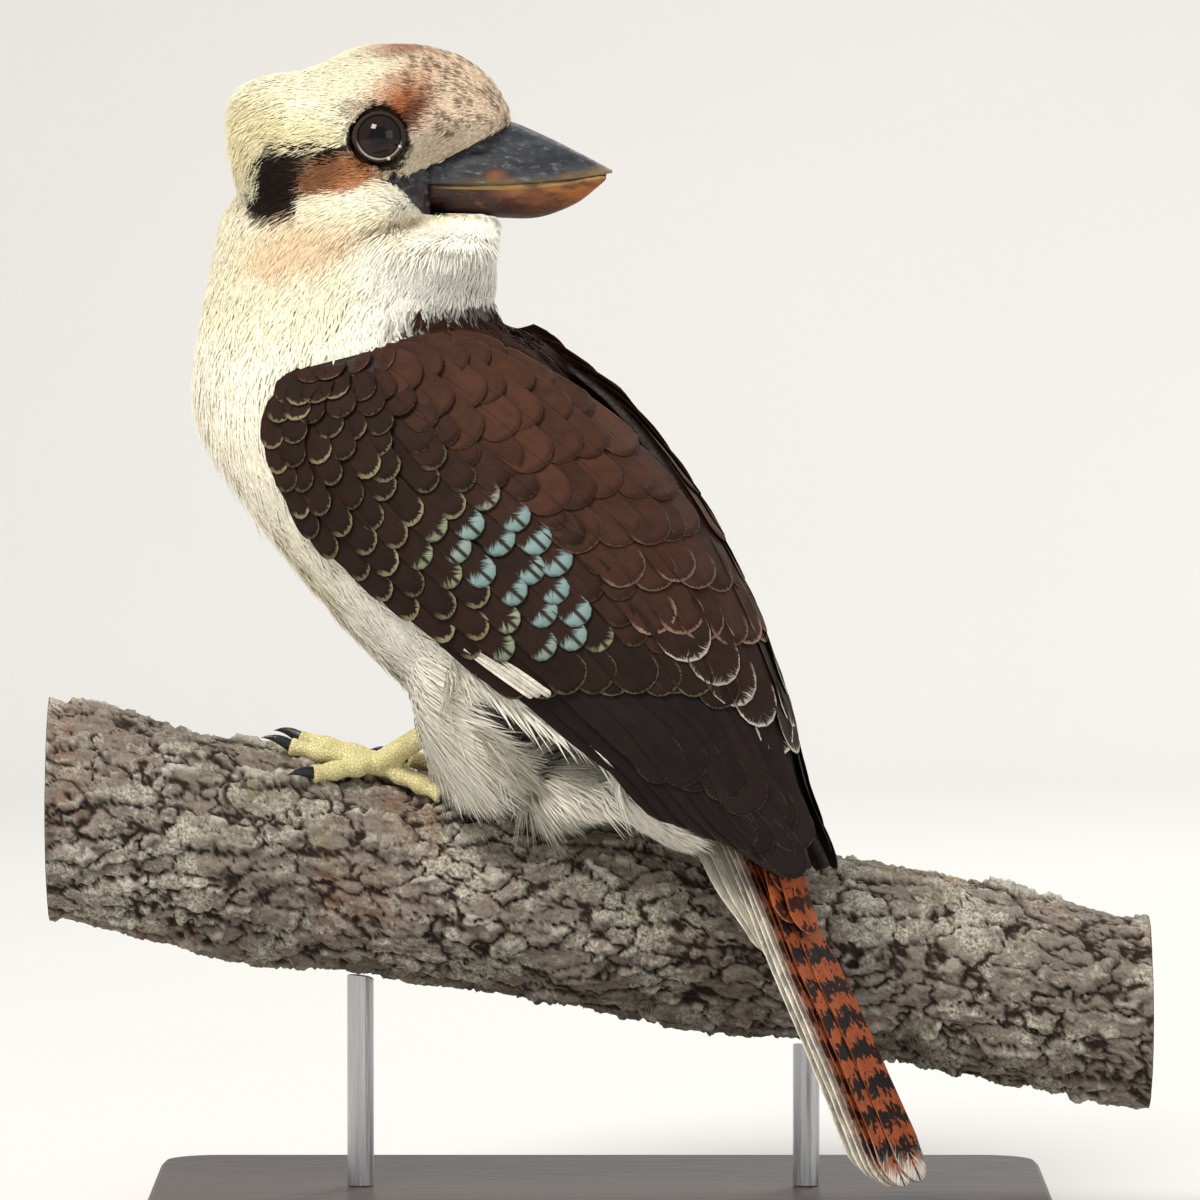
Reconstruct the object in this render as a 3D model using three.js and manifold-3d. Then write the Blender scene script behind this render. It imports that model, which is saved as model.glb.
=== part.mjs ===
// A laughing kookaburra, life size, perched on a short cut length of branch that two rods hold above a flat base.
// Millimetres, +Z up. The origin is the centre of the base's underside. Seen along +Y the bird shows its left side,
// its tail comes down in front of the branch, and its head is turned back over its right shoulder, towards +X.
import * as THREE from "three";
import { mergeVertices } from "three/addons/utils/BufferGeometryUtils.js";
import Module from "manifold-3d";

const wasm = await Module();
wasm.setup();

// Driving sizes
const GAP = 0.35; // what touching pieces keep between them
const FINEST = 0.03; // edges shorter than this are merged
const FRAME_MM = 360; // width of the picture's frame at the bird
const FRAME_UNITS = 1200; // the same width in the units that profiles are read in
const BASE_LINE = 1235; // the height, in those units, of the base's underside
const UNIT = FRAME_MM / FRAME_UNITS;
const BODY_YAW = THREE.MathUtils.degToRad(27); // the breast points left and this far away from the viewer
const HEAD_YAW = THREE.MathUtils.degToRad(5); // the bill points right and this far towards the viewer
const FEET_X = -57; // where the body's median plane crosses Y = 0
const HEAD_X = -75; // where the head's median plane meets the body's
const UNDER_WING = 3; // room between a thigh and the wing's vanes
const HEAD_CLEAR = 45; // beside the head's median plane, past all of the head
const FAR = 400; // past all of the bird
const RING_SIDES = 26;
const TRUNK_STEPS = 26;

const EYE_RADIUS = 9;
const EYE_PROUD = 3.2; // how far the eye stands out of the face
const LID_RING = 7.1;
const LID_TUBE = 1.0;

const PERCH = { left: -165, right: 165, leftAxis: 127, rightAxis: 67, leftRadius: 34, rightRadius: 28.5 };
const BASE = { length: 270, depth: 176, height: 14, corner: 16, bevel: 1.5 };
const ROD = { radius: 4, leftX: -72, rightX: 62, sides: 16 };

// Sampled profiles: each row is [left or lower, upper, half width], read in frame units and millimetres
const STATIONS = [
  { belly: [783, 915], back: [832, 892], half: 12 }, // past the wing tips
  { belly: [662, 838], back: [790, 792], half: 22 }, // root of the tail
  { belly: [566, 782], back: [763, 694], half: 33 },
  { belly: [445, 722], back: [722, 584], half: 41 },
  { belly: [337, 644], back: [668, 486], half: 46 },
  { belly: [262, 562], back: [603, 404], half: 48 },
  { belly: [216, 474], back: [536, 350], half: 46 },
  { belly: [199, 394], back: [497, 318], half: 41 },
  { belly: [206, 320], back: [488, 286], half: 36 }, // foot of the neck
  { belly: [216, 258], back: [507, 246], half: 32 },
  { belly: [230, 205], back: [501, 205], half: 28 },
  { belly: [262, 165], back: [450, 170], half: 18 },
];
const TAIL_CUT = 1.25; // station where the tail is parted from the torso
const NECK_CUT = 7.75; // station where the neck is parted from the torso
const HEAD_SLICES = [
  { x: 235, top: 112, low: 192, half: 10 },
  { x: 250, top: 87, low: 216, half: 20.5 },
  { x: 285, top: 66, low: 230, half: 27 },
  { x: 330, top: 50, low: 237, half: 29.5 },
  { x: 380, top: 42, low: 238, half: 29.5 },
  { x: 430, top: 45.5, low: 234, half: 25.5 },
  { x: 470, top: 60, low: 228, half: 19.5 },
  { x: 498, top: 86, low: 224, half: 14.5 },
  { x: 513, top: 115, low: 222, half: 10.5 },
];
const HEAD_CUT = 236; // frame height where the head is parted from the neck
const UPPER_BILL = [
  { x: 420, top: 140, low: 183.5, half: 14 },
  { x: 470, top: 126, low: 185, half: 14.5 },
  { x: 505, top: 121, low: 185, half: 12 },
  { x: 540, top: 134, low: 183, half: 9 },
  { x: 575, top: 151, low: 179.5, half: 5.6 },
  { x: 600, top: 164, low: 175, half: 2.6 },
  { x: 612, top: 170.5, low: 173.5, half: 0.8 },
];
const LOWER_BILL = [
  { x: 420, top: 186, low: 212, half: 12.6 },
  { x: 470, top: 187.5, low: 215.5, half: 12.2 },
  { x: 505, top: 187.5, low: 218.5, half: 10.6 },
  { x: 540, top: 185.5, low: 217.5, half: 8 },
  { x: 575, top: 182, low: 204.5, half: 5 },
  { x: 597, top: 177.5, low: 188, half: 2.2 },
  { x: 606, top: 176, low: 180, half: 0.8 },
];
// Where the bill leaves the face: back along the chin to the gape, then forward past the nostril to the culmen
const FACE_EDGE = [
  [516, 219.5], [424, 217], [430, 203], [412, 187], [433, 169], [464, 151], [491, 137], [511, 124], [640, 90], [640, 240],
];
const NOSTRIL = { x: 474, y: 148, long: 2.6, high: 0.8, deep: 2.2, side: 11.4 };
const EYE = { x: 388, y: 137 };
const GAPE = { from: 392, to: 440, y: 183, high: 0.6, deep: 3 };

const colour = {
  cream: 0xe9e0c4, brown: 0x4a3128, dark: 0x241c1a, rufous: 0xb4512c, horn: 0x2e3236, orange: 0xb4783a,
  yellow: 0xd9cc84, claw: 0x191b1f, eye: 0x1d1210, bark: 0x8d8676, base: 0x2b2622, steel: 0x8a8c8e,
};
const finish = (hex, roughness, metalness = 0) => new THREE.MeshStandardMaterial({ color: hex, roughness, metalness });

// Places and profiles
const unitX = (x) => (x - FRAME_UNITS / 2) * UNIT;
const unitZ = (y) => (BASE_LINE - y) * UNIT;
const lerp = THREE.MathUtils.lerp;

// A point beside a vertical plane that is turned by yaw about Z and passes through (throughX, throughY).
function besidePlane(x, z, side, yaw, throughX, throughY) {
  const y = throughY - (x - throughX) * Math.tan(yaw);
  return new THREE.Vector3(x - side * Math.sin(yaw), y - side * Math.cos(yaw), z);
}
const bodyPoint = (x, z, side) => besidePlane(x, z, side, BODY_YAW, FEET_X, 0);
const HEAD_Y = -(HEAD_X - FEET_X) * Math.tan(BODY_YAW);
const headPoint = (x, z, side) => besidePlane(x, z, side, HEAD_YAW, HEAD_X, HEAD_Y);

// Smooth value between samples that are one apart.
function spline(values, t) {
  const last = values.length - 1;
  const i = Math.min(Math.max(Math.floor(t), 0), last - 1);
  const f = Math.min(Math.max(t, 0), last) - i;
  const [a, b, c, d] = [values[Math.max(i - 1, 0)], values[i], values[i + 1], values[Math.min(i + 2, last)]];
  return b + 0.5 * f * (c - a + f * (2 * a - 5 * b + 4 * c - d + f * (3 * (b - c) + d - a)));
}
const bellyX = STATIONS.map((s) => unitX(s.belly[0]));
const bellyZ = STATIONS.map((s) => unitZ(s.belly[1]));
const backX = STATIONS.map((s) => unitX(s.back[0]));
const backZ = STATIONS.map((s) => unitZ(s.back[1]));
const halfWidths = STATIONS.map((s) => s.half);

// A point over the body: s is the station, round is 0 at the bird's left side, 90 degrees along the back and -90
// along the belly, and lift is the height above the skin. Past 90 degrees it is on the right side.
function overBody(s, round, lift) {
  const [bx, bz, dx, dz] = [bellyX, bellyZ, backX, backZ].map((v) => spline(v, s));
  const deep = Math.hypot((dx - bx) / 2 / Math.cos(BODY_YAW), (dz - bz) / 2);
  const reach = Math.sin(round) * (1 + lift / deep);
  const side = Math.cos(round) * (spline(halfWidths, s) + lift);
  return bodyPoint((bx + dx) / 2 + (reach * (dx - bx)) / 2, (bz + dz) / 2 + (reach * (dz - bz)) / 2, side);
}

// Solids
function solidOf(points, faces) {
  let volume = 0;
  for (const [a, b, c] of faces) volume += points[a].dot(points[b].clone().cross(points[c]));
  const geometry = new THREE.BufferGeometry().setFromPoints(points);
  geometry.setIndex(faces.flatMap(([a, b, c]) => (volume < 0 ? [a, c, b] : [a, b, c])));
  return fromGeometry(geometry);
}

function fromGeometry(geometry) {
  const bare = geometry.clone();
  for (const name of Object.keys(bare.attributes)) if (name !== "position") bare.deleteAttribute(name);
  const merged = mergeVertices(bare, 1e-4);
  const { position } = merged.attributes;
  return new wasm.Manifold(
    new wasm.Mesh({ numProp: 3, vertProperties: position.array, triVerts: new Uint32Array(merged.index.array) }),
  );
}

// Closes a row of rings of points into one solid, with a fan over each end.
function loft(rings) {
  const sides = rings[0].length;
  const points = rings.flat();
  const faces = [];
  for (let r = 0; r + 1 < rings.length; r++)
    for (let i = 0; i < sides; i++) {
      const [a, b] = [r * sides + i, r * sides + ((i + 1) % sides)];
      faces.push([a, b, b + sides], [a, b + sides, a + sides]);
    }
  for (const [r, flip] of [[0, true], [rings.length - 1, false]]) {
    const middle = points.push(rings[r].reduce((m, p) => m.add(p), new THREE.Vector3()).divideScalar(sides)) - 1;
    for (let i = 0; i < sides; i++) {
      const [a, b] = [r * sides + i, r * sides + ((i + 1) % sides)];
      faces.push(flip ? [b, a, middle] : [a, b, middle]);
    }
  }
  return solidOf(points, faces);
}

// A tapered round limb along a line of points, with a radius at each.
function limb(centres, radii, sides) {
  return loft(centres.map((c, i) => {
    const ahead = centres[Math.min(i + 1, centres.length - 1)].clone().sub(centres[Math.max(i - 1, 0)]).normalize();
    const across = new THREE.Vector3(-ahead.y, ahead.x, 0.001).normalize();
    const up = ahead.clone().cross(across).normalize();
    return Array.from({ length: sides }, (_, k) => {
      const turn = (2 * Math.PI * k) / sides;
      return c.clone().addScaledVector(across, radii[i] * Math.cos(turn)).addScaledVector(up, radii[i] * Math.sin(turn));
    });
  }));
}

const joined = (solids) => wasm.Manifold.union(solids);
const largest = (solid) => solid.decompose().sort((a, b) => b.volume() - a.volume())[0];

// An upright prism over a closed outline in the head's profile, wide enough to cross the head.
function acrossHead(outline, shift) {
  const rings = [-HEAD_CLEAR, HEAD_CLEAR].map((side) => outline.map(([x, y]) => headPoint(unitX(x) + shift, unitZ(y), side)));
  return loft(rings);
}

// Closes two grids of points, one over the other, into one solid; both hold along + 1 rows of across + 1 points.
function sheet(upper, lower, along, across) {
  const count = upper.length;
  const faces = [];
  const at = (i, j) => i * (across + 1) + j;
  for (let i = 0; i < along; i++)
    for (let j = 0; j < across; j++) {
      const [a, b, c, d] = [at(i, j), at(i, j + 1), at(i + 1, j + 1), at(i + 1, j)];
      for (const [p, q, r] of 2 * j < across ? [[a, b, d], [b, c, d]] : [[a, b, c], [a, c, d]])
        faces.push([p, q, r], [p + count, r + count, q + count]);
    }
  const rim = [];
  for (let j = 0; j < across; j++) rim.push(at(0, j));
  for (let i = 0; i < along; i++) rim.push(at(i, across));
  for (let j = across; j > 0; j--) rim.push(at(along, j));
  for (let i = along; i > 0; i--) rim.push(at(i, 0));
  rim.forEach((a, i) => {
    const b = rim[(i + 1) % rim.length];
    faces.push([b, a, a + count], [b, a + count, b + count]);
  });
  return solidOf([...upper, ...lower], faces);
}

// The trunk
const ringOver = (s, lift) =>
  Array.from({ length: RING_SIDES }, (_, k) => overBody(s, (2 * Math.PI * k) / RING_SIDES, lift));

function trunk(from, to, steps, lift, liftFrom = lift) {
  return loft(Array.from({ length: steps + 1 }, (_, k) =>
    ringOver(lerp(from, to, k / steps), lerp(lift, liftFrom, (1 - k / steps) ** 3))));
}

function sliceOf(slices, t, grow) {
  const [x, top, low, half] = ["x", "top", "low", "half"].map((k) => spline(slices.map((s) => s[k]), t));
  return { x: unitX(x), z: (unitZ(top) + unitZ(low)) / 2, high: (unitZ(top) - unitZ(low)) / 2 + grow, half: half + grow };
}

function headSolid(grow) {
  const STEPS = 14;
  const rings = Array.from({ length: STEPS + 1 }, (_, k) => {
    const { x, z, high, half } = sliceOf(HEAD_SLICES, (k / STEPS) * (HEAD_SLICES.length - 1), grow);
    return Array.from({ length: RING_SIDES }, (_, i) => {
      const turn = (2 * Math.PI * i) / RING_SIDES;
      return headPoint(x, z + high * Math.sin(turn), half * Math.cos(turn));
    });
  });
  return loft(rings);
}

// A bill half is D-shaped in section: flat where the two halves meet, rounded on its other side.
function billSolid(slices, flatSide) {
  const STEPS = 10;
  const SIDES = 13;
  return loft(Array.from({ length: STEPS + 1 }, (_, k) => {
    const { x, z, high, half } = sliceOf(slices, (k / STEPS) * (slices.length - 1), 0);
    return Array.from({ length: SIDES }, (_, i) => {
      const turn = (Math.PI * i) / (SIDES - 1);
      return headPoint(x, z - flatSide * high * (1 - 2 * Math.sin(turn)), half * Math.cos(turn));
    });
  }));
}

// A slab across the body at one station, as thick as the gap that parts two nodes.
function beyondStation(s, direction, start) {
  const ring = (at) => Array.from({ length: 4 }, (_, k) => overBody(at, Math.PI / 4 + (Math.PI * k) / 2, HEAD_CLEAR));
  const [near, next] = [ring(s), ring(s + 0.01 * direction)];
  const middle = (pts) => pts.reduce((m, p) => m.add(p), new THREE.Vector3()).divideScalar(4);
  const ahead = middle(next).sub(middle(near)).normalize();
  return loft([start, FAR].map((far) => near.map((p) => p.clone().addScaledVector(ahead, far))));
}

function belowHead(drop) {
  const outline = [[-FAR, HEAD_CUT], [3 * FAR, HEAD_CUT], [3 * FAR, 5 * FAR], [-FAR, 5 * FAR]];
  const rings = [-FAR, FAR].map((side) => outline.map(([x, y]) => headPoint(unitX(x), unitZ(y) - drop, side)));
  return loft(rings);
}

// The folded wing's edges, in degrees round the body at each station from 0 to 7.
const WING_LOW = [50, 4, -6, -17, -25, -24, -15, 5];
const WING_HIGH = [60, 88, 88, 88, 84, 76, 67, 42];
const WING_TIP = 0.42;
const WING_BEND = 6.72;
const rad = THREE.MathUtils.degToRad;
const wingRound = (s, across) => rad(lerp(spline(WING_LOW, s), spline(WING_HIGH, s), across));

// The half of space on one side of the body's median plane.
function besideMedian(mirror) {
  const outline = [[-FAR, -FAR], [FAR, -FAR], [FAR, 2 * FAR], [-FAR, 2 * FAR]];
  return loft([GAP / 2, FAR].map((side) => outline.map(([x, z]) => bodyPoint(x, z, mirror * side))));
}

// How far the wing's core stands out of the body: t is 0 at the bend and 1 at the tip, across as in wingRound.
const CORE = { along: 11, across: 7, thick: 3.4, rim: 0.7, sunk: 0.6 };
function coreLift(t, across) {
  const rise = (share, over) => Math.sin((Math.PI / 2) * Math.min(1, Math.max(share, 0) / over));
  const back = t > 0.45 ? 1 : lerp(rise(1 - across, 0.25), 1, t / 0.45);
  return CORE.rim + CORE.thick * rise(across, 0.2) * back * rise(t + 0.02, 0.14) * lerp(1, 0.3, t);
}

// The wing's closed core, hugging the body; mirror is 1 for the left wing and -1 for the right one.
function wingCore(mirror, grow) {
  const [upper, lower] = [[], []];
  for (let i = 0; i <= CORE.along; i++)
    for (let j = 0; j <= CORE.across; j++) {
      const [t, f] = [i / CORE.along, j / CORE.across];
      const s = lerp(WING_BEND + grow * 0.035, WING_TIP - grow * 0.035, t);
      const round = wingRound(s, f) + ((f - 0.5) * grow * 2.2) / spline(halfWidths, s);
      const turn = mirror > 0 ? round : Math.PI - round;
      upper.push(overBody(s, turn, coreLift(t, f) + grow));
      lower.push(overBody(s, turn, -CORE.sunk - grow));
    }
  return sheet(upper, lower, CORE.along, CORE.across).intersect(besideMedian(mirror));
}

// Tiers of the folded wing, from the flight feathers out to the scapulars. A tier's feathers end on a line across the
// wing, from one [station, share across] to another, and reach forward by length, in stations, towards the bend.
const WING_TIERS = [
  { name: "primaries", count: 4, first: [1.02, 0.05], last: [0.42, 0.48], length: [2.0, 2.3], fan: 0.02, width: 12 },
  { name: "secondaries", count: 4, first: [1.36, 0.3], last: [0.62, 0.72], length: [1.9, 2.2], fan: -0.02, width: 16 },
  { name: "tertials", count: 3, first: [2.45, 0.7], last: [1.7, 0.9], length: [1.5, 1.8], fan: -0.02, width: 17 },
  { name: "greater", count: 6, first: [2.6, 0.1], last: [2.2, 0.62], length: [1.3, 1.5], fan: -0.03, width: 17 },
  { name: "median", count: 5, first: [3.4, 0.11], last: [2.8, 0.55], length: [1.15, 1.2], fan: -0.04, width: 18 },
  { name: "lesser", count: 5, first: [4.2, 0.12], last: [3.65, 0.54], length: [1.05, 1.15], fan: -0.04, width: 18 },
  { name: "upper_lesser", count: 5, first: [5.1, 0.13], last: [4.5, 0.52], length: [1, 1], fan: -0.03, width: 16 },
  { name: "bend", count: 3, first: [5.9, 0.2], last: [5.4, 0.48], length: [0.7, 0.75], fan: 0, width: 17 },
  { name: "long_scapulars", count: 3, first: [3.15, 0.66], last: [3.1, 0.92], length: [1.5, 1.5], fan: -0.02, width: 19 },
  { name: "scapulars", count: 3, first: [4.1, 0.66], last: [4.1, 0.92], length: [1.3, 1.3], fan: 0, width: 19 },
  { name: "short_scapulars", count: 3, first: [5.1, 0.64], last: [5.1, 0.92], length: [1.1, 1.1], fan: 0, width: 19 },
];
const VANE = {
  thick: 0.6, // of the vane
  tilt: 0.1, // each one's lower edge lies over the next one's upper edge
  bulge: 50, // radius of the curve across a vane
  root: -1.1, // lift over the core, where the vane is sunk in it
  tip: 3, // and at its free end
  share: [0, 0.7, 1],
  wide: [0.55, 1, 0.45],
  drawn: 0.2, // how far the corners of the tip are drawn back, as a share of the width
};

// One vane over the wing, from its sunk root at [station, share across] to its free tip.
function wingVane(from, to, width, mirror) {
  const overWing = ([s, across], extra) => {
    const round = wingRound(s, across);
    const t = (WING_BEND - s) / (WING_BEND - WING_TIP);
    return overBody(s, mirror > 0 ? round : Math.PI - round, coreLift(t, across) + extra);
  };
  const [upper, lower] = [[], []];
  VANE.share.forEach((t, r) => {
    const at = [lerp(from[0], to[0], t), lerp(from[1], to[1], t)];
    const next = [at[0] + (to[0] - from[0]) * 0.05, at[1] + (to[1] - from[1]) * 0.05];
    const lift = lerp(VANE.root, VANE.tip, t);
    const place = overWing(at, lift);
    const ahead = overWing(next, lift).sub(place).normalize();
    const out = overWing(at, lift + 1).sub(place).normalize();
    const dorsal = out.clone().cross(ahead).normalize().multiplyScalar(mirror);
    for (const j of [-1, 0, 1]) {
      const half = (width / 2) * VANE.wide[r];
      const back = r === VANE.share.length - 1 ? Math.abs(j) * width * VANE.drawn : 0;
      const fall = (j * j * half * half) / (2 * VANE.bulge) + j * half * VANE.tilt;
      const p = place.clone().addScaledVector(dorsal, j * half).addScaledVector(ahead, -back);
      upper.push(p.addScaledVector(out, -fall));
      lower.push(p.clone().addScaledVector(out, -VANE.thick));
    }
  });
  return sheet(upper, lower, VANE.share.length - 1, 2);
}

function wing(mirror) {
  const vanes = WING_TIERS.flatMap(({ count, first, last, length, fan, width }) =>
    Array.from({ length: count }, (_, k) => {
      const share = k / (count - 1);
      const tip = [lerp(first[0], last[0], share), lerp(first[1], last[1], share)];
      return wingVane([tip[0] + lerp(length[0], length[1], share), tip[1] - fan], tip, width, mirror);
    }));
  const offBody = joined(vanes).subtract(trunk(0, 11, TRUNK_STEPS, GAP));
  return largest(joined([wingCore(mirror, 0), offBody]).intersect(besideMedian(mirror)));
}

// The tail: its feathers lie in a roof, the middle pair on top, and the roots are covered from above and below.
const TAIL = {
  root: [742, 800], tip: [911, 1160], pairs: 6, offRoot: 3, offTip: 6.5, step: 1.5, slope: 0.45,
  width: 21, thick: 0.7, layer: 1.1, round: 0.07, arch: 1.5,
  share: [0, 0.4, 0.8, 0.95, 1], wide: [0.6, 0.9, 1, 0.82, 0.34],
};
const TAIL_COVERTS = [
  { to: 0.3, off: 0, width: 16, lift: [8, 1.6] },
  { to: 0.25, off: 8, width: 14, lift: [7, 1.6] },
  { to: 0.25, off: -8, width: 14, lift: [7, 1.6] },
  { to: 0.46, off: 0, width: 17, lift: [-13, -8] },
  { to: 0.4, off: 8, width: 14, lift: [-12, -8] },
  { to: 0.4, off: -8, width: 14, lift: [-12, -8] },
];

// One feather of the tail: lies over the roof by lift at its root and its tip, centred off the middle at both.
function tailVane(to, offs, width, lift) {
  const [rootX, rootZ, tipX, tipZ] = [...TAIL.root, ...TAIL.tip].map((v, i) => (i % 2 ? unitZ(v) : unitX(v)));
  const down = new THREE.Vector2(tipX - rootX, tipZ - rootZ);
  const back = new THREE.Vector2(-down.y, down.x).normalize(); // the tail's upper side, in the body's profile
  const [upper, lower] = [[], []];
  TAIL.share.forEach((share, r) => {
    const long = share * to;
    const last = r === TAIL.share.length - 1;
    for (const j of [-1, 0, 1]) {
      const side = lerp(offs[0], offs[1], long) + j * (width / 2) * TAIL.wide[r];
      const lie = TAIL.arch * Math.sin(Math.PI * long) - TAIL.slope * Math.abs(side) + lerp(lift[0], lift[1], share);
      const along = long - (last ? Math.abs(j) * 0.03 : 0);
      const [x, z] = [rootX + down.x * along, rootZ + down.y * along];
      upper.push(bodyPoint(x + back.x * lie, z + back.y * lie, side));
      lower.push(bodyPoint(x + back.x * (lie - TAIL.thick), z + back.y * (lie - TAIL.thick), side));
    }
  });
  return sheet(upper, lower, TAIL.share.length - 1, 2);
}

function tailFeathers() {
  const steers = [-1, 1].flatMap((side) =>
    Array.from({ length: TAIL.pairs }, (_, pair) => {
      const offs = [TAIL.offRoot + pair * TAIL.step * 0.4, TAIL.offTip + pair * TAIL.step].map((off) => side * off);
      const under = -(pair + (side > 0 ? 0.45 : 0)) * TAIL.layer; // of a pair, the right one lies on top
      return tailVane(1 - TAIL.round * (pair / (TAIL.pairs - 1)) ** 2, offs, TAIL.width, [under, under]);
    }));
  return [...steers, ...TAIL_COVERTS.map(({ to, off, width, lift }) => tailVane(to, [off * 0.7, off], width, lift))];
}

// The perch: x runs along it and round is 0 on top, positive towards the viewer.
const perchShare = (x) => (x - PERCH.left) / (PERCH.right - PERCH.left);
const perchAxis = (x) => lerp(PERCH.leftAxis, PERCH.rightAxis, perchShare(x));
function perchRadius(x, round) {
  const t = perchShare(x);
  const waves = 1.1 * Math.sin(9 * t + 2 * round) + 0.8 * Math.cos(17 * t - 3 * round) + 0.5 * Math.sin(31 * t + 5 * round);
  return lerp(PERCH.leftRadius, PERCH.rightRadius, t) + waves;
}
function overPerch(x, round, lift) {
  const r = perchRadius(x, round) + lift;
  return new THREE.Vector3(x, -r * Math.sin(round), perchAxis(x) + r * Math.cos(round));
}
function perchSolid(grow) {
  const [STEPS, SIDES] = [22, 22];
  return loft(Array.from({ length: STEPS + 1 }, (_, k) => {
    const x = lerp(PERCH.left, PERCH.right, k / STEPS);
    return Array.from({ length: SIDES }, (_, i) => overPerch(x, (2 * Math.PI * i) / SIDES, grow));
  }));
}

// Legs and feet: each foot has three toes forward and one back, laid over the perch.
const FEET = {
  left: { x: -66, round: rad(17), shank: [468, 722, 21], knee: [480, 650, 25], ankle: [520, 766, 18], mirror: 1 },
  right: { x: -34, round: rad(-20), shank: [450, 735, -20], knee: [470, 670, -24], ankle: [490, 770, -17], mirror: -1 },
};
const TOES = [
  { name: "inner", along: -20, spread: 0.34, claw: 8 },
  { name: "middle", along: -27, spread: 0.02, claw: 8.5 },
  { name: "outer", along: -24, spread: -0.24, claw: 8.5 },
  { name: "hind", along: 19, spread: 0.3, claw: 9 },
];
const THIGH_RADII = [14, 16, 17, 15, 9];
const SHANK_RADII = [3.4, 3.0, 3.9];
const TOE_RADII = [3.4, 3.3, 3.1, 2.9, 2.4];
const CLAW_RADII = [1.7, 1.55, 1.1, 0.35];
const TOE_RADIUS = 3.2;
const SOCKET = 1.3; // how deep a claw stands in its toe

function toePath(foot, toe, steps) {
  const side = foot.mirror * toe.spread;
  return Array.from({ length: steps + 1 }, (_, k) => {
    const t = k / steps;
    const x = foot.x + toe.along * t;
    return overPerch(x, foot.round + side * t, TOE_RADIUS * lerp(0.95, 0.62, t) + (k === 1 ? 0.5 : 0));
  });
}

// A claw stands in a socket in its toe's end; grow is the room that the socket leaves round it.
function clawSolid(foot, toe, grow) {
  const [before, end] = toePath(foot, toe, 4).slice(-2);
  const ahead = end.clone().sub(before).normalize();
  const round = foot.round + foot.mirror * toe.spread;
  const out = overPerch(end.x, round, 5).sub(overPerch(end.x, round, 0)).normalize();
  const centres = CLAW_RADII.map((_, k) => {
    const t = k / (CLAW_RADII.length - 1);
    const arch = 2 * Math.sin(Math.PI * 0.75 * t) - 0.5 * t;
    return end.clone().addScaledVector(ahead, -SOCKET + (toe.claw + SOCKET) * t).addScaledVector(out, arch);
  });
  if (grow) centres[0].addScaledVector(ahead, -grow);
  return limb(centres, CLAW_RADII.map((r) => r + grow), 7);
}

function shankAndToes(foot, grow) {
  const ankle = bodyPoint(unitX(foot.shank[0]), unitZ(foot.shank[1]), foot.shank[2]);
  const sole = overPerch(foot.x, foot.round, TOE_RADIUS);
  const shank = limb([ankle, ankle.clone().lerp(sole, 0.5), sole], SHANK_RADII.map((r) => r + grow), 9);
  const toes = TOES.map((toe) => limb(toePath(foot, toe, 4), TOE_RADII.map((r) => r + grow), 9));
  return joined([shank, ...toes]);
}

function footSolid(foot) {
  return shankAndToes(foot, 0).subtract(joined(TOES.map((toe) => clawSolid(foot, toe, GAP))));
}

function thighSolid(foot) {
  const knee = bodyPoint(unitX(foot.knee[0]), unitZ(foot.knee[1]), foot.knee[2]);
  const ankle = bodyPoint(unitX(foot.ankle[0]), unitZ(foot.ankle[1]), foot.ankle[2]);
  const centres = [0, 0.3, 0.6, 0.85, 1].map((t) => knee.clone().lerp(ankle, t * 1.05));
  return limb(centres, THIGH_RADII, 16);
}

// The stand
function baseSolid() {
  const { length, depth, height, corner, bevel } = BASE;
  const outline = new THREE.Shape();
  const [a, b] = [length / 2 - corner - bevel, depth / 2 - corner - bevel];
  [[a, b, 0], [-a, b, 90], [-a, -b, 180], [a, -b, 270]].forEach(([x, y, from]) =>
    outline.absarc(x, y, corner, rad(from), rad(from + 90), false));
  const geometry = new THREE.ExtrudeGeometry(outline, {
    depth: height - 2 * bevel, bevelThickness: bevel, bevelSize: bevel, bevelSegments: 1, curveSegments: 4,
  });
  geometry.translate(0, 0, bevel);
  return fromGeometry(geometry);
}

function rodSolid(x) {
  const top = perchAxis(x);
  const geometry = new THREE.CylinderGeometry(ROD.radius, ROD.radius, top - BASE.height - GAP, ROD.sides);
  geometry.rotateX(Math.PI / 2);
  geometry.translate(x, 0, (top + BASE.height + GAP) / 2);
  return fromGeometry(geometry);
}

// The model
const kookaburra = new THREE.Group();

function add(name, solid, material) {
  const clean = largest(largest(solid).asOriginal().simplify(FINEST));
  const { numProp, vertProperties, triVerts, numVert } = clean.getMesh();
  const flat = new Float32Array(numVert * 3);
  for (let i = 0; i < numVert; i++) flat.set(vertProperties.subarray(i * numProp, i * numProp + 3), i * 3);
  const geometry = new THREE.BufferGeometry().setAttribute("position", new THREE.BufferAttribute(flat, 3));
  geometry.setIndex(new THREE.BufferAttribute(new Uint32Array(triVerts), 1));
  geometry.computeVertexNormals();
  const mesh = new THREE.Mesh(geometry, material);
  mesh.name = name;
  kookaburra.add(mesh);
}

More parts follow.
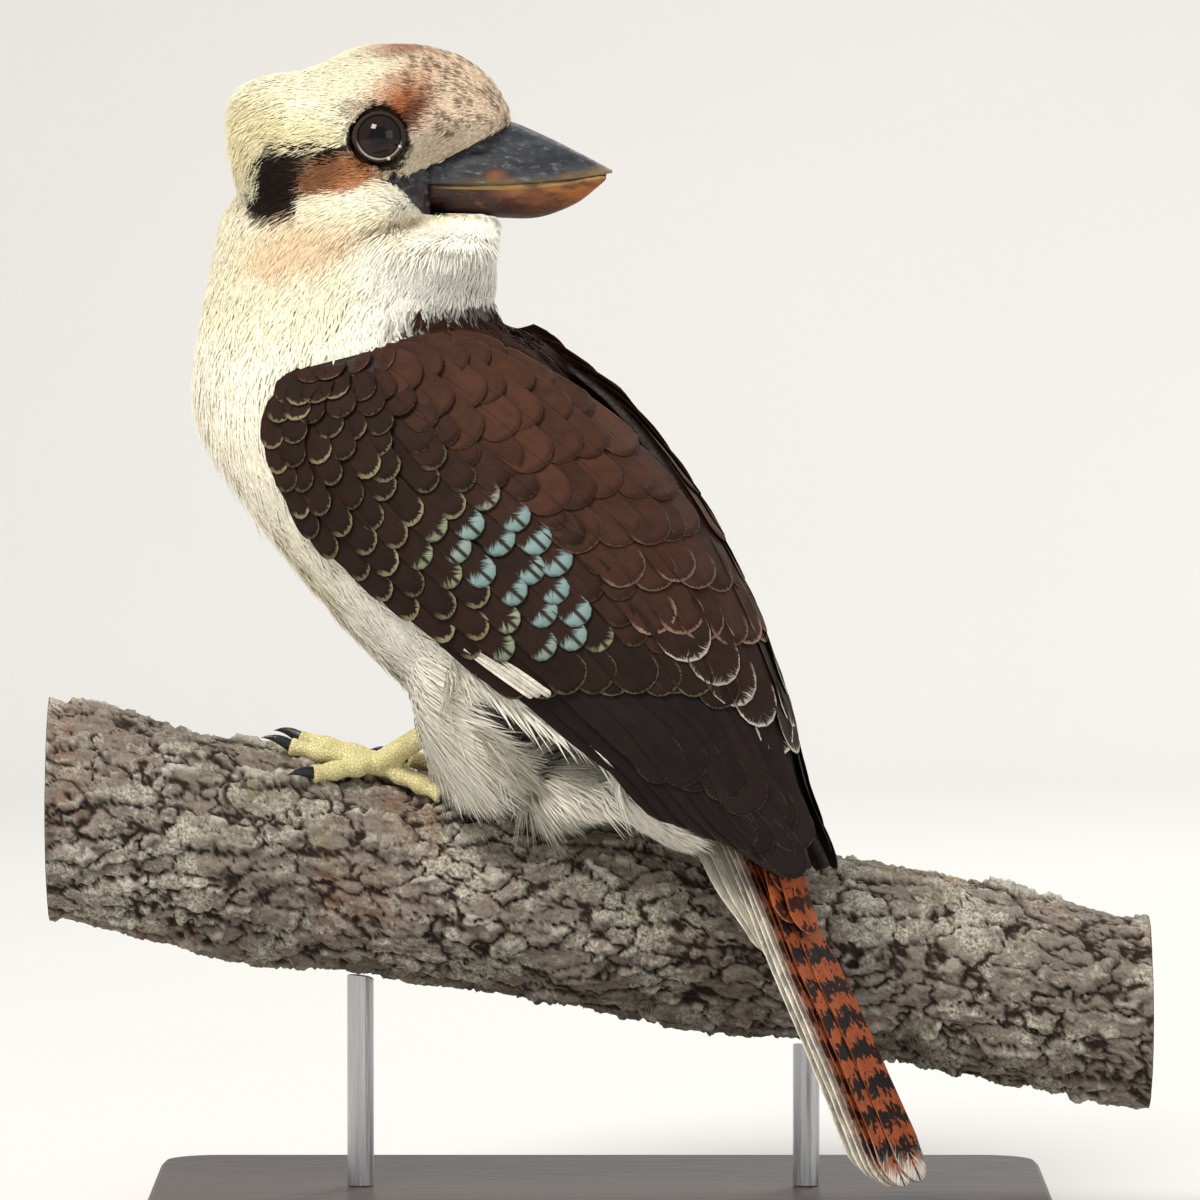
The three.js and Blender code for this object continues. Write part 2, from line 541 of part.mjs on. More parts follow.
function eyeAt(side) {
  const slice = HEAD_SLICES.find((s) => s.x === 380);
  return headPoint(unitX(EYE.x), unitZ(EYE.y), side * (slice.half - EYE_RADIUS + EYE_PROUD));
}
function ball(radius, centre, across = 18, down = 10) {
  const geometry = new THREE.SphereGeometry(radius, across, down);
  geometry.rotateZ(-HEAD_YAW);
  geometry.translate(centre.x, centre.y, centre.z);
  return fromGeometry(geometry);
}
function lid(side) {
  const geometry = new THREE.TorusGeometry(LID_RING, LID_TUBE, 6, 18);
  geometry.rotateX(Math.PI / 2);
  geometry.rotateZ(-HEAD_YAW);
  const slice = HEAD_SLICES.find((s) => s.x === 380);
  const centre = headPoint(unitX(EYE.x), unitZ(EYE.y), side * (slice.half - 0.2));
  geometry.translate(centre.x, centre.y, centre.z);
  return fromGeometry(geometry);
}

function buildBird() {
  const plumage = finish(colour.cream, 0.9);
  const leftWing = wing(1);
  const rightWing = wing(-1);
  const cores = joined([wingCore(1, GAP), wingCore(-1, GAP)]);
  const perchRoom = perchSolid(GAP);

  const body = trunk(1, 11, TRUNK_STEPS, 0);
  const eyes = { left: eyeAt(-1), right: eyeAt(1) };
  const sockets = joined([ball(EYE_RADIUS + GAP, eyes.left), ball(EYE_RADIUS + GAP, eyes.right)]);
  const face = acrossHead(FACE_EDGE, 0);
  const gape = joined([-1, 1].map((side) => {
    const half = sliceOf(HEAD_SLICES, 5, 0).half;
    const rings = [half - GAPE.deep - 2, half + 6].map((far) =>
      [[GAPE.from, -1], [GAPE.to, -1], [GAPE.to, 1], [GAPE.from, 1]].map(([x, up]) =>
        headPoint(unitX(x), unitZ(GAPE.y) + (up * GAPE.high) / 2, side * far)));
    return loft(rings);
  }));
  const headWhole = joined([headSolid(0), lid(-1), lid(1)]);
  const whole = joined([body, headWhole]).subtract(cores).subtract(sockets).subtract(face).subtract(gape);

  const head = whole.subtract(belowHead(0));
  const underHead = whole.intersect(belowHead(GAP));
  const neck = underHead.intersect(beyondStation(NECK_CUT, 1, GAP / 2));
  const torsoEnd = underHead.intersect(beyondStation(NECK_CUT, -1, GAP / 2));
  const torso = torsoEnd.intersect(beyondStation(TAIL_CUT, 1, GAP / 2));
  add("head", head, plumage);
  add("neck", neck, plumage);
  add("torso", torso, plumage);
  add("wing_left", leftWing, finish(colour.brown, 0.75));
  add("wing_right", rightWing, finish(colour.brown, 0.75));

  const stump = trunk(0, TAIL_CUT + 0.5, 8, 0, -5).subtract(cores);
  const tail = joined([stump, ...tailFeathers()]).subtract(beyondStation(TAIL_CUT, 1, -GAP / 2)).subtract(cores);
  add("tail", tail, finish(colour.rufous, 0.75));

  const beside = acrossHead(FACE_EDGE, GAP);
  const upper = billSolid(UPPER_BILL, 1).intersect(beside);
  const nostrils = [-1, 1].map((side) => {
    const geometry = new THREE.SphereGeometry(1, 10, 6);
    geometry.scale(NOSTRIL.long, NOSTRIL.deep, NOSTRIL.high);
    geometry.rotateY(rad(12));
    const centre = headPoint(unitX(NOSTRIL.x), unitZ(NOSTRIL.y), side * NOSTRIL.side);
    geometry.translate(centre.x, centre.y, centre.z);
    return fromGeometry(geometry);
  });
  add("bill_upper", upper.subtract(joined(nostrils)), finish(colour.horn, 0.45));
  add("bill_lower", billSolid(LOWER_BILL, -1).intersect(beside), finish(colour.orange, 0.45));
  for (const side of ["left", "right"]) add("eye_" + side, ball(EYE_RADIUS, eyes[side]), finish(colour.eye, 0.08));

  const bodyRoom = trunk(1, 11, TRUNK_STEPS, GAP);
  const wingRoom = joined([wingCore(1, UNDER_WING), wingCore(-1, UNDER_WING)]);
  for (const [side, foot] of Object.entries(FEET)) {
    const thigh = thighSolid(foot).subtract(joined([bodyRoom, perchRoom, wingRoom, shankAndToes(foot, GAP)]));
    const legs = footSolid(foot).subtract(bodyRoom).subtract(perchRoom);
    add("thigh_" + side, thigh, plumage);
    add("foot_" + side, legs, finish(colour.yellow, 0.6));
    for (const toe of TOES)
      add("claw_" + side + "_" + toe.name, clawSolid(foot, toe, 0).subtract(perchRoom), finish(colour.claw, 0.35));
  }
}

function buildStand() {
  const room = perchSolid(GAP);
  add("perch", perchSolid(0), finish(colour.bark, 0.95));
  add("stand_base", baseSolid(), finish(colour.base, 0.5));
  add("stand_rod_left", rodSolid(ROD.leftX).subtract(room), finish(colour.steel, 0.35, 1));
  add("stand_rod_right", rodSolid(ROD.rightX).subtract(room), finish(colour.steel, 0.35, 1));
}

buildBird();
buildStand();

export default kookaburra;
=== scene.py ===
"""Looks of the perched laughing kookaburra: skin, plumage, wings, tail, bill, eyes, feet, branch and stand."""

import functools
import math

import bmesh
import bpy
import numpy as np
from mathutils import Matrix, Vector, kdtree, noise
from mathutils.bvhtree import BVHTree


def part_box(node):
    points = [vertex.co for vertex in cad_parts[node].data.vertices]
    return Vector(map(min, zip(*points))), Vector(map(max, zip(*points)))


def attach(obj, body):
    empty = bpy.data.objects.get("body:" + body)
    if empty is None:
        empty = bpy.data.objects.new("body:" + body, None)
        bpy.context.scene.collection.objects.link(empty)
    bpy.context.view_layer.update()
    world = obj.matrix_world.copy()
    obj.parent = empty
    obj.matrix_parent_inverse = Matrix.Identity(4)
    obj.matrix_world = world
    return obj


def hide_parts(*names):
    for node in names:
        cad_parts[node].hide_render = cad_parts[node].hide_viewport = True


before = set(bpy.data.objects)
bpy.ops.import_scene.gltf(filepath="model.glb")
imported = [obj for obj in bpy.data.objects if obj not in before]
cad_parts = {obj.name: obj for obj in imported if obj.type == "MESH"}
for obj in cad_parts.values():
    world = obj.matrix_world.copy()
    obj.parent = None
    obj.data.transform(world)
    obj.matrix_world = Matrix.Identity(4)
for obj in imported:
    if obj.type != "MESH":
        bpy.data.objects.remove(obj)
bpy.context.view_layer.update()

SEED = 11
rng = np.random.default_rng(SEED)
noise.seed_set(SEED)
MM = 0.001
# measures named px and py are profile units of 0.3 mm, across from MIDDLE and down from LEVEL
UNIT = 0.3 * MM
MIDDLE, LEVEL = 600, 1235


def lerp(a, b, t):
    return a + (b - a) * t


def smooth(a, b, x):
    t = np.clip((np.asarray(x, float) - a) / (b - a), 0, 1)
    return t * t * (3 - 2 * t)


def unit(v):
    return v / np.maximum(np.linalg.norm(v, axis=-1, keepdims=True), 1e-12)


def metres_x(px):
    return (px - MIDDLE) * UNIT


def metres_z(py):
    return (LEVEL - py) * UNIT


def profile(x, z):
    return x / UNIT + MIDDLE, LEVEL - z / UNIT


# the trunk: belly px, belly py, back px, back py and half width in millimetres, from tail to crown
STATIONS = np.array([
    (783, 915, 832, 892, 12), (662, 838, 790, 792, 22), (566, 782, 763, 694, 33), (445, 722, 722, 584, 41),
    (337, 644, 668, 486, 46), (262, 562, 603, 404, 48), (216, 474, 536, 350, 46), (199, 394, 497, 318, 41),
    (206, 320, 488, 286, 36), (216, 258, 507, 246, 32), (230, 205, 501, 205, 28), (262, 165, 450, 170, 18),
], float)
TRUNK = np.column_stack([metres_x(STATIONS[:, 0]), metres_z(STATIONS[:, 1]),
                         metres_x(STATIONS[:, 2]), metres_z(STATIONS[:, 3]), STATIONS[:, 4] * MM])
BODY_YAW, HEAD_YAW = math.radians(27), math.radians(5)
FEET_X, HEAD_X = -57 * MM, -75 * MM
HEAD_Y = -(HEAD_X - FEET_X) * math.tan(BODY_YAW)
HEAD_CUT = 236  # the py where the head ends and the neck begins
EYES = [np.array(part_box(f"eye_{side}")).mean(0) for side in ("left", "right")]
THIGHS = [np.array(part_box(f"thigh_{side}")) for side in ("left", "right")]

# the folded wing: lower and upper edge in degrees round the trunk at each station, and the core under its vanes
WING_LOW = np.array([50, 6, -1, -9, -18, -22, -15, 5], float)[:, None]
WING_HIGH = np.array([60, 88, 88, 88, 84, 76, 67, 42], float)[:, None]
WING_TIP, WING_BEND = 0.42, 6.72
CORE_THICK, CORE_RIM, CORE_SUNK = 3.4 * MM, 0.7 * MM, 0.6 * MM
TAIL_ROOT = np.array([metres_x(742), metres_z(800)])
TAIL_TIP = np.array([metres_x(911), metres_z(1160)])
TAIL_SLOPE = 0.32
PERCH = {"left": -165 * MM, "right": 165 * MM, "axis": (127 * MM, 67 * MM), "radius": (34 * MM, 28.5 * MM)}

# the face: where its feathers meet the bill, the bare skin's upper and lower edge, the hind crown's fall
FEATHER_EDGE = np.array([(516, 217), (430, 217), (438, 204), (428, 187), (436, 168), (466, 151), (492, 137),
                         (511, 124)])
GAPE = np.array([(384, 179.5, 181), (398, 177.2, 183.5), (408, 175.3, 188), (418, 172.5, 200), (427, 169, 212),
                 (442, 163, 215)])
HIND_CROWN = [(225, 245, 262, 280, 292, 307, 330, 355, 372), (-3, -6, -3, 1.5, 5, 9, 8, 2, 0)]


def beside(x, z, side, yaw, through_x, through_y):
    y = through_y - (x - through_x) * math.tan(yaw)
    return np.stack([x - side * math.sin(yaw), y - side * math.cos(yaw), z + 0 * x], -1)


def on_body(x, z, side):
    return beside(x, z, side, BODY_YAW, FEET_X, 0)


def on_head(px, py, side):
    x, z = metres_x(np.asarray(px, float)), metres_z(np.asarray(py, float))
    return beside(x, z, side, HEAD_YAW, HEAD_X, HEAD_Y)


def head_place(p):
    """px and py on the head's own profile, and metres to its right side."""
    dx, dy = p[..., 0] - HEAD_X, p[..., 1] - HEAD_Y
    side = -dx * math.sin(HEAD_YAW) - dy * math.cos(HEAD_YAW)
    return *profile(p[..., 0] + side * math.sin(HEAD_YAW), p[..., 2]), side


def curve(rows, t):
    """Catmull-Rom through rows that are one apart."""
    last = len(rows) - 1
    i = np.clip(np.floor(t).astype(int), 0, last - 1)
    f = (np.clip(t, 0, last) - i)[..., None]
    a, b, c, d = rows[np.maximum(i - 1, 0)], rows[i], rows[i + 1], rows[np.minimum(i + 2, last)]
    return b + 0.5 * f * (c - a + f * (2 * a - 5 * b + 4 * c - d + f * (3 * (b - c) + d - a)))


def over_body(s, turn, lift):
    """Points over the trunk: turn is 0 at the bird's left side and a quarter circle along the back."""
    s, turn, lift = np.broadcast_arrays(np.asarray(s, float), turn, lift)
    bx, bz, dx, dz, half = np.moveaxis(curve(TRUNK, s), -1, 0)
    deep = np.hypot((dx - bx) / 2 / math.cos(BODY_YAW), (dz - bz) / 2)
    reach = np.sin(turn) * (1 + lift / deep)
    return on_body((bx + dx) / 2 + reach * (dx - bx) / 2, (bz + dz) / 2 + reach * (dz - bz) / 2,
                   np.cos(turn) * (half + lift))


def folded(turn):
    """How far a turn lies above the trunk's flank, the same for both sides."""
    return np.arcsin(np.clip(np.sin(turn), -1, 1))


def mirrored(turn, mirror):
    return turn if mirror > 0 else math.pi - turn


def wing_turn(s, across):
    s = np.asarray(s, float)
    return np.radians(lerp(curve(WING_LOW, s)[..., 0], curve(WING_HIGH, s)[..., 0], across))


def rounded(share, over):
    """A quarter round that is full from share = over on."""
    return np.sin(math.pi / 2 * np.clip(share / over, 0, 1))


def core_lift(s, across):
    """Height of the wing's core, rounded at its lower, back and front edges and thinner towards its tip."""
    t = (WING_BEND - np.asarray(s, float)) / (WING_BEND - WING_TIP)
    back = np.where(t > 0.45, 1, lerp(rounded(1 - across, 0.25), 1, t / 0.45))
    return CORE_RIM + CORE_THICK * rounded(across, 0.2) * back * rounded(t + 0.02, 0.14) * lerp(1, 0.3, t)


def over_wing(s, across, lift, mirror):
    return over_body(s, mirrored(wing_turn(s, across), mirror), core_lift(s, across) + lift)


def perch_point(x, turn, lift):
    """Points over the branch: turn is 0 on top, and its radius swells and narrows a little."""
    t = (x - PERCH["left"]) / (PERCH["right"] - PERCH["left"])
    r = lerp(*PERCH["radius"], t) + MM * (1.1 * np.sin(9 * t + 2 * turn) + 0.8 * np.cos(17 * t - 3 * turn)
                                          + 0.5 * np.sin(31 * t + 5 * turn)) + lift
    return np.stack([x + 0 * turn, -r * np.sin(turn), lerp(*PERCH["axis"], t) + r * np.cos(turn)], -1)


def shade(r, g, b):
    """Linear light of a colour that the eye sees as r, g, b out of 255."""
    c = np.array([r, g, b], float) / 255
    return np.where(c <= 0.04045, c / 12.92, ((c + 0.055) / 1.055) ** 2.4)


CREAM = shade(242, 233, 204)
WHITE = shade(247, 243, 229)
STRAW = shade(222, 210, 158)
BUFF = shade(232, 200, 160)
RUFOUS = shade(160, 86, 44)
ORANGE = shade(176, 112, 68)
UMBER = shade(78, 46, 32)
SOOT = shade(30, 20, 17)
GREY_DOWN = shade(176, 166, 146)
WING_DARK = shade(38, 23, 16)
WING_BLACK = shade(27, 18, 16)
MANTLE = shade(64, 38, 26)
PINK_BUFF = shade(224, 198, 170)
RUSTY_EDGE = shade(166, 136, 114)
PALE_BLUE = shade(128, 152, 148)
SEA_GREEN = shade(124, 142, 118)
OLIVE_BUFF = shade(166, 156, 118)
TAIL_RUFOUS = shade(152, 76, 40)
TAIL_BLACK = shade(28, 19, 17)
TAIL_WHITE = shade(230, 222, 206)
SLATE = shade(36, 37, 41)
BARE_SKIN = shade(40, 35, 37)
MOUTH = shade(50, 34, 35)


def painted(count, colour):
    return np.broadcast_to(colour, (count, 3)).copy()


def blend(colour, mask, other):
    return colour + (other - colour) * np.asarray(mask)[..., None]


def spot(px, py, x, y, rx, ry, soft=0.35, tilt=0.0, power=2):
    """Soft ellipse on a profile, squarer with a higher power."""
    c, d = math.cos(tilt), math.sin(tilt)
    u, v = (px - x) * c + (py - y) * d, (py - y) * c - (px - x) * d
    return smooth(1 + soft, 1 - soft, (np.abs(u / rx) ** power + np.abs(v / ry) ** power) ** (1 / power))


def points_of(verts):
    return np.array([v.co[:] for v in verts])


def into_scene(name, mesh):
    obj = bpy.data.objects.new(name, mesh)
    bpy.context.scene.collection.objects.link(obj)
    return obj


def mesh_object(name, verts, *faces):
    """One smooth mesh from arrays of corners and of faces, each array with its own number of corners."""
    mesh = bpy.data.meshes.new(name)
    loops = np.concatenate([f.ravel() for f in faces]).astype(np.int32)
    sizes = np.concatenate([np.full(len(f), f.shape[1]) for f in faces])
    mesh.vertices.add(len(verts))
    mesh.vertices.foreach_set("co", np.ascontiguousarray(verts, np.float32).ravel())
    mesh.loops.add(len(loops))
    mesh.loops.foreach_set("vertex_index", loops)
    mesh.polygons.add(len(sizes))
    mesh.polygons.foreach_set("loop_start", np.concatenate([[0], np.cumsum(sizes)[:-1]]).astype(np.int32))
    mesh.update(calc_edges=True)
    mesh.shade_smooth()
    return into_scene(name, mesh)


def from_bmesh(name, bm):
    mesh = bpy.data.meshes.new(name)
    bm.to_mesh(mesh)
    bm.free()
    mesh.shade_smooth()
    return into_scene(name, mesh)


def rolled(name, along, around, place, merge=1e-6, carried=None):
    """A grid rolled into a closed tube: place gives points for shares along and turns around.

    carried is a label and a list that place fills with three numbers for each point.
    """
    bm = bmesh.new()
    bmesh.ops.create_grid(bm, x_segments=along, y_segments=around, size=1)
    grid = points_of(bm.verts)
    for v, co in zip(bm.verts, place((grid[:, 0] + 1) / 2, (grid[:, 1] + 1) * math.pi)):
        v.co = co
    if carried:
        layer = bm.verts.layers.float_vector.new(carried[0])
        for v, numbers in zip(bm.verts, carried[1]):
            v[layer] = numbers
    bmesh.ops.remove_doubles(bm, verts=bm.verts, dist=merge)
    bmesh.ops.holes_fill(bm, edges=[e for e in bm.edges if e.is_boundary], sides=0)
    bmesh.ops.recalc_face_normals(bm, faces=bm.faces)
    return from_bmesh(name, bm)


def put(obj, name, values, kind="FLOAT_COLOR"):
    """Stores one row of numbers for each vertex."""
    att = obj.data.attributes.new(name, kind, "POINT")
    key, width = {"FLOAT_COLOR": ("color", 4), "FLOAT_VECTOR": ("vector", 3), "FLOAT": ("value", 1)}[kind]
    values = np.asarray(values, np.float32).reshape(len(obj.data.vertices), -1)
    if values.shape[1] < width:
        values = np.column_stack([values, np.ones((len(values), width - values.shape[1]))])
    att.data.foreach_set(key, np.ascontiguousarray(values, np.float32).ravel())


def read_out(items, key, width, kind=float):
    values = np.empty(len(items) * width, kind)
    items.foreach_get(key, values)
    return values.reshape(-1, width)


def set_uv(obj, uv, loops=None):
    """One place in the map for each vertex; loops tells whose place each corner of a face takes."""
    if loops is None:
        loops = read_out(obj.data.loops, "vertex_index", 1, np.int32).ravel()
    layer = obj.data.uv_layers.new(name="OFBake")
    layer.data.foreach_set("uv", np.ascontiguousarray(uv[loops], np.float32).ravel())


def finish_piece(obj, slot, look, *nodes):
    obj.data.materials.clear()
    obj.data.materials.append(look)
    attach(obj, "root")
    if nodes:
        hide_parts(*nodes)


class Graph:
    """Short hand for a node tree: nodes with sockets set by name, and links for values that are sockets."""

    def __init__(self, tree):
        self.tree = tree

    def feed(self, value, socket):
        if isinstance(value, bpy.types.NodeSocket):
            self.tree.links.new(value, socket)
        else:
            socket.default_value = value

    def add(self, kind, inputs=None, **settings):
        node = self.tree.nodes.new("ShaderNode" + kind)
        for key, value in settings.items():
            setattr(node, key, value)
        for key, value in (inputs or {}).items():
            self.feed(value, node.inputs[key])
        return node

    def math(self, operation, *values):
        return self.add("Math", dict(enumerate(values)), operation=operation).outputs[0]

    def plus(self, *values):
        return functools.reduce(lambda a, b: self.math("ADD", a, b), values)

    def times(self, *values):
        return functools.reduce(lambda a, b: self.math("MULTIPLY", a, b), values)

    def minus(self, a, b):
        return self.math("SUBTRACT", a, b)

    def mix(self, share, a, b):
        node = self.add("Mix", data_type="RGBA")
        for key, value in ((0, share), (6, a), (7, b)):
            is_colour = key and not isinstance(value, bpy.types.NodeSocket)
            self.feed((*value[:3], 1) if is_colour else value, node.inputs[key])
        return node.outputs[2]

    def step(self, value, low, high, out_low=0.0, out_high=1.0):
        return self.add("MapRange", {"Value": value, "From Min": low, "From Max": high, "To Min": out_low,
                                     "To Max": out_high}, interpolation_type="SMOOTHSTEP").outputs[0]

    def noise(self, vector, scale, detail=3.0, rough=0.55):
        return self.add("TexNoise", {"Vector": vector, "Scale": scale, "Detail": detail,
                                     "Roughness": rough}).outputs[0]

    def vector(self, x=0.0, y=0.0, z=0.0):
        return self.add("CombineXYZ", {0: x, 1: y, 2: z}).outputs[0]

    def split(self, vector):
        return self.add("SeparateXYZ", {0: vector}).outputs

    def where(self):
        return self.add("TexCoord").outputs["Object"]

    def scaled(self, vector, *scale):
        return self.add("Mapping", {"Vector": vector, "Scale": scale}).outputs[0]

    def valued(self, colour, value):
        return self.add("HueSaturation", {"Color": colour, "Value": value}).outputs[0]

    def attribute(self, name, output="Color"):
        return self.add("Attribute", attribute_name=name).outputs[output]


def material(name, **constants):
    mat = bpy.data.materials.new(name)
    mat.use_nodes = True
    shader = mat.node_tree.nodes["Principled BSDF"]
    for key, value in constants.items():
        shader.inputs[key.replace("_", " ")].default_value = value
    return mat, Graph(mat.node_tree), shader


def dress(g, shader, colour, rough=None):
    g.feed(colour, shader.inputs["Base Color"])
    if rough is not None:
        g.feed(rough, shader.inputs["Roughness"])


def bump(g, shader, height, distance, strength=1.0):
    node = g.add("Bump", {"Height": height, "Distance": distance, "Strength": strength})
    g.feed(node.outputs[0], shader.inputs["Normal"])


def group(name, inputs, outputs):
    """A node group: its tree, its graph, and the sockets that come in and go out."""
    tree = bpy.data.node_groups.new(name, "ShaderNodeTree")
    for way, sockets in (("INPUT", inputs), ("OUTPUT", outputs)):
        for label, kind in sockets:
            tree.interface.new_socket(label, in_out=way, socket_type="NodeSocket" + kind)
    return tree, Graph(tree), tree.nodes.new("NodeGroupInput").outputs, tree.nodes.new("NodeGroupOutput").inputs


def use(g, tree, inputs):
    node = g.add("Group", node_tree=tree)
    for key, value in inputs.items():
        g.feed(value, node.inputs[key])
    return node.outputs


def downy_group():
    """Soft mottling that skin and plumage share."""
    tree, g, ins, outs = group("downy", [("Color", "Color"), ("Depth", "Float")],
                               [("Color", "Color"), ("Height", "Float")])
    where = g.where()
    fine, broad = g.noise(where, 900.0, 2.0), g.noise(where, 70.0, 3.0)
    tone = g.plus(g.step(fine, 0.2, 0.8, 0.86, 1.06), g.step(broad, 0.25, 0.75, -0.05, 0.05))
    g.feed(g.valued(ins["Color"], tone), outs["Color"])
    g.feed(g.times(fine, ins["Depth"]), outs["Height"])
    return tree


# millimetres
BARB_PERIOD, BAR_PERIOD = 0.55, 10.5
SHAFT_DARK = (0.012, 0.008, 0.006)


def vane_group():
    """A feather's vane: barbs, shaft, pale edge, coloured tip and bars, from numbers that each vane carries.

    Shape holds millimetres across and along the vane and from its rim, Kind how pale its edge is, how strong
    its bars are and the share along it, and Reach the length of its coloured tip.
    """
    tree, g, ins, outs = group(
        "vane", [("Base", "Color"), ("Tip", "Color"), ("Tone", "Float"), ("Reach", "Float"),
                 ("Shape", "Vector"), ("Kind", "Vector"), ("Dark Bar", "Color")],
        [("Color", "Color"), ("Height", "Float"), ("Gloss", "Float")])
    x, y, rim = g.split(ins["Shape"])
    edge, bars, share = g.split(ins["Kind"])
    off = g.math("ABSOLUTE", x)
    per_vane = g.times(ins["Tone"], 71.0)
    own = g.add("VectorMath", {0: ins["Shape"], 1: g.vector(z=per_vane)}, operation="ADD").outputs[0]
    wobble = g.noise(own, 0.35, 2.0)
    barb = g.plus(g.minus(y, g.times(off, 1.15)), g.times(wobble, 2.0))
    wave = g.math("SINE", g.times(barb, math.tau / BARB_PERIOD))
    shaft = g.step(off, 0.12, 0.3, 1.0, 0.0)
    clump = g.noise(g.vector(barb, g.times(off, 0.15), per_vane), 1.3, 2.0)
    cloud = g.noise(own, 0.16, 2.0)
    tone = g.plus(ins["Tone"], g.times(wave, 0.05), g.step(clump, 0.3, 0.7, -0.14, 0.14),
                  g.step(cloud, 0.3, 0.7, -0.12, 0.2))
    colour = g.valued(ins["Base"], tone)

    ripple = g.plus(y, per_vane, g.plus(g.times(off, -0.22), g.times(wobble, 14.0)))
    ripple = g.plus(g.math("SINE", g.times(ripple, math.tau / BAR_PERIOD)), g.step(clump, 0.3, 0.7, -0.3, 0.3))
    bar = g.times(bars, g.times(g.step(ripple, -0.22, 0.08), g.step(rim, 0.0, 0.9, 0.35, 1.0)))
    colour = g.mix(bar, colour, ins["Dark Bar"])

    worn = g.minus(g.plus(rim, g.step(clump, 0.25, 0.75, -0.4, 0.4)), g.times(edge, 0.7))
    pale = g.times(g.step(worn, -0.2, 0.5, 1.0, 0.0), g.times(edge, g.step(share, 0.84, 0.96)))
    frayed = g.plus(share, g.times(g.minus(clump, 0.5), 0.2))
    beyond = g.minus(frayed, g.minus(1.0, ins["Reach"]))
    tip = g.times(g.step(beyond, -0.03, 0.05), g.step(off, 0.25, 1.0, 0.08, 1.0),
                  g.step(rim, 0.0, 0.3, 0.45, 1.0))
    colour = g.mix(g.math("MAXIMUM", pale, tip), colour, ins["Tip"])
    g.feed(g.mix(g.times(shaft, 0.4), colour, SHAFT_DARK), outs["Color"])
    g.feed(g.plus(g.times(wave, 0.5), g.times(shaft, 2.0)), outs["Height"])
    g.feed(g.step(clump, 0.2, 0.8, 0.62, 0.85), outs["Gloss"])
    return tree


DOWNY = downy_group()
VANE = vane_group()


def plumage_material(name, height):
    mat, g, shader = material(name, Roughness=0.85, Specular_IOR_Level=0.15)
    look = use(g, DOWNY, {"Color": g.attribute("plumage"), "Depth": 1.0})
    dress(g, shader, look["Color"])
    bump(g, shader, look["Height"], height)
    return mat


def vane_material(name):
    mat, g, shader = material(name, Specular_IOR_Level=0.14)
    numbers = {"Base": ("vane_base", "Color"), "Tip": ("vane_tip", "Color"), "Tone": ("vane_base", "Alpha"),
               "Reach": ("vane_tip", "Alpha"), "Shape": ("vane_shape", "Vector"), "Kind": ("vane_kind", "Vector")}
    look = use(g, VANE, {key: g.attribute(*source) for key, source in numbers.items()}
               | {"Dark Bar": (*TAIL_BLACK, 1)})
    dress(g, shader, look["Color"], look["Gloss"])
    bump(g, shader, look["Height"], 0.00005, 0.7)
    return mat


def bill_material(name, worn, dirt):
    """Horn whose tint each vertex carries, with worn flecks and darker smudges."""
    mat, g, shader = material(name, Specular_IOR_Level=0.35)
    where = g.where()
    drawn_out = g.scaled(where, 1.0, 1.0, 2.6)
    grain = g.noise(drawn_out, 260.0, 5.0, 0.65)
    cloud = g.noise(where, 60.0, 3.0)
    smudge = g.noise(drawn_out, 110.0, 4.0, 0.6)
    colour = g.mix(g.step(smudge, 0.4, 0.68, 0.0, 0.75), g.attribute("tint"), dirt)
    colour = g.mix(g.times(g.step(grain, 0.52, 0.7), g.step(cloud, 0.35, 0.7, 0.25, 0.8)), colour, worn)
    dress(g, shader, colour, g.step(grain, 0.3, 0.7, 0.42, 0.7))
    bump(g, shader, g.plus(grain, smudge), 0.00035, 0.7)
    return mat


def eye_material():
    """A dark iris with fine fibres round a black pupil, under a wet surface."""
    mat, g, shader = material("eye_wet", Roughness=0.05, Specular_IOR_Level=0.22, Coat_Weight=0.1,
                              Coat_Roughness=0.02)
    ring = g.attribute("ring", "Fac")
    fibres = g.noise(g.where(), 1500.0, 4.0)
    iris = g.mix(g.step(fibres, 0.3, 0.7), shade(20, 11, 9), shade(40, 21, 15))
    colour = g.mix(g.step(ring, 0.5, 0.54), shade(6, 5, 6), iris)
    dress(g, shader, g.mix(g.step(ring, 0.9, 1.0), colour, shade(20, 14, 13)))
    return mat


def scale_material(name, light, dark, scale, height, rough=(0.45, 0.65)):
    """Small scales or folds in two tones, with their own bump."""
    mat, g, shader = material(name, Specular_IOR_Level=0.4)
    where = g.where()
    cells = g.add("TexVoronoi", {"Vector": where, "Scale": scale}, feature="DISTANCE_TO_EDGE")
    cells = cells.outputs["Distance"]
    cloud = g.noise(where, 160.0, 4.0)
    colour = g.mix(g.step(cells, 0.0, 0.12), dark, light)
    dress(g, shader, g.mix(g.step(cloud, 0.4, 0.7, 0.0, 0.45), colour, dark), g.step(cloud, 0.3, 0.7, *rough))
    bump(g, shader, g.step(cells, 0.0, 0.2), height, 0.8)
    return mat


def lid_material():
    """A finish whose colour each vertex carries, with fine folds."""
    mat, g, shader = material("lid_skin", Specular_IOR_Level=0.15)
    fine = g.noise(g.where(), 1400.0, 4.0)
    look = g.valued(g.attribute("tint"), g.step(fine, 0.2, 0.8, 0.75, 1.2))
    dress(g, shader, look, g.step(fine, 0.3, 0.7, 0.6, 0.85))
    bump(g, shader, fine, 0.00012, 0.7)
    return mat


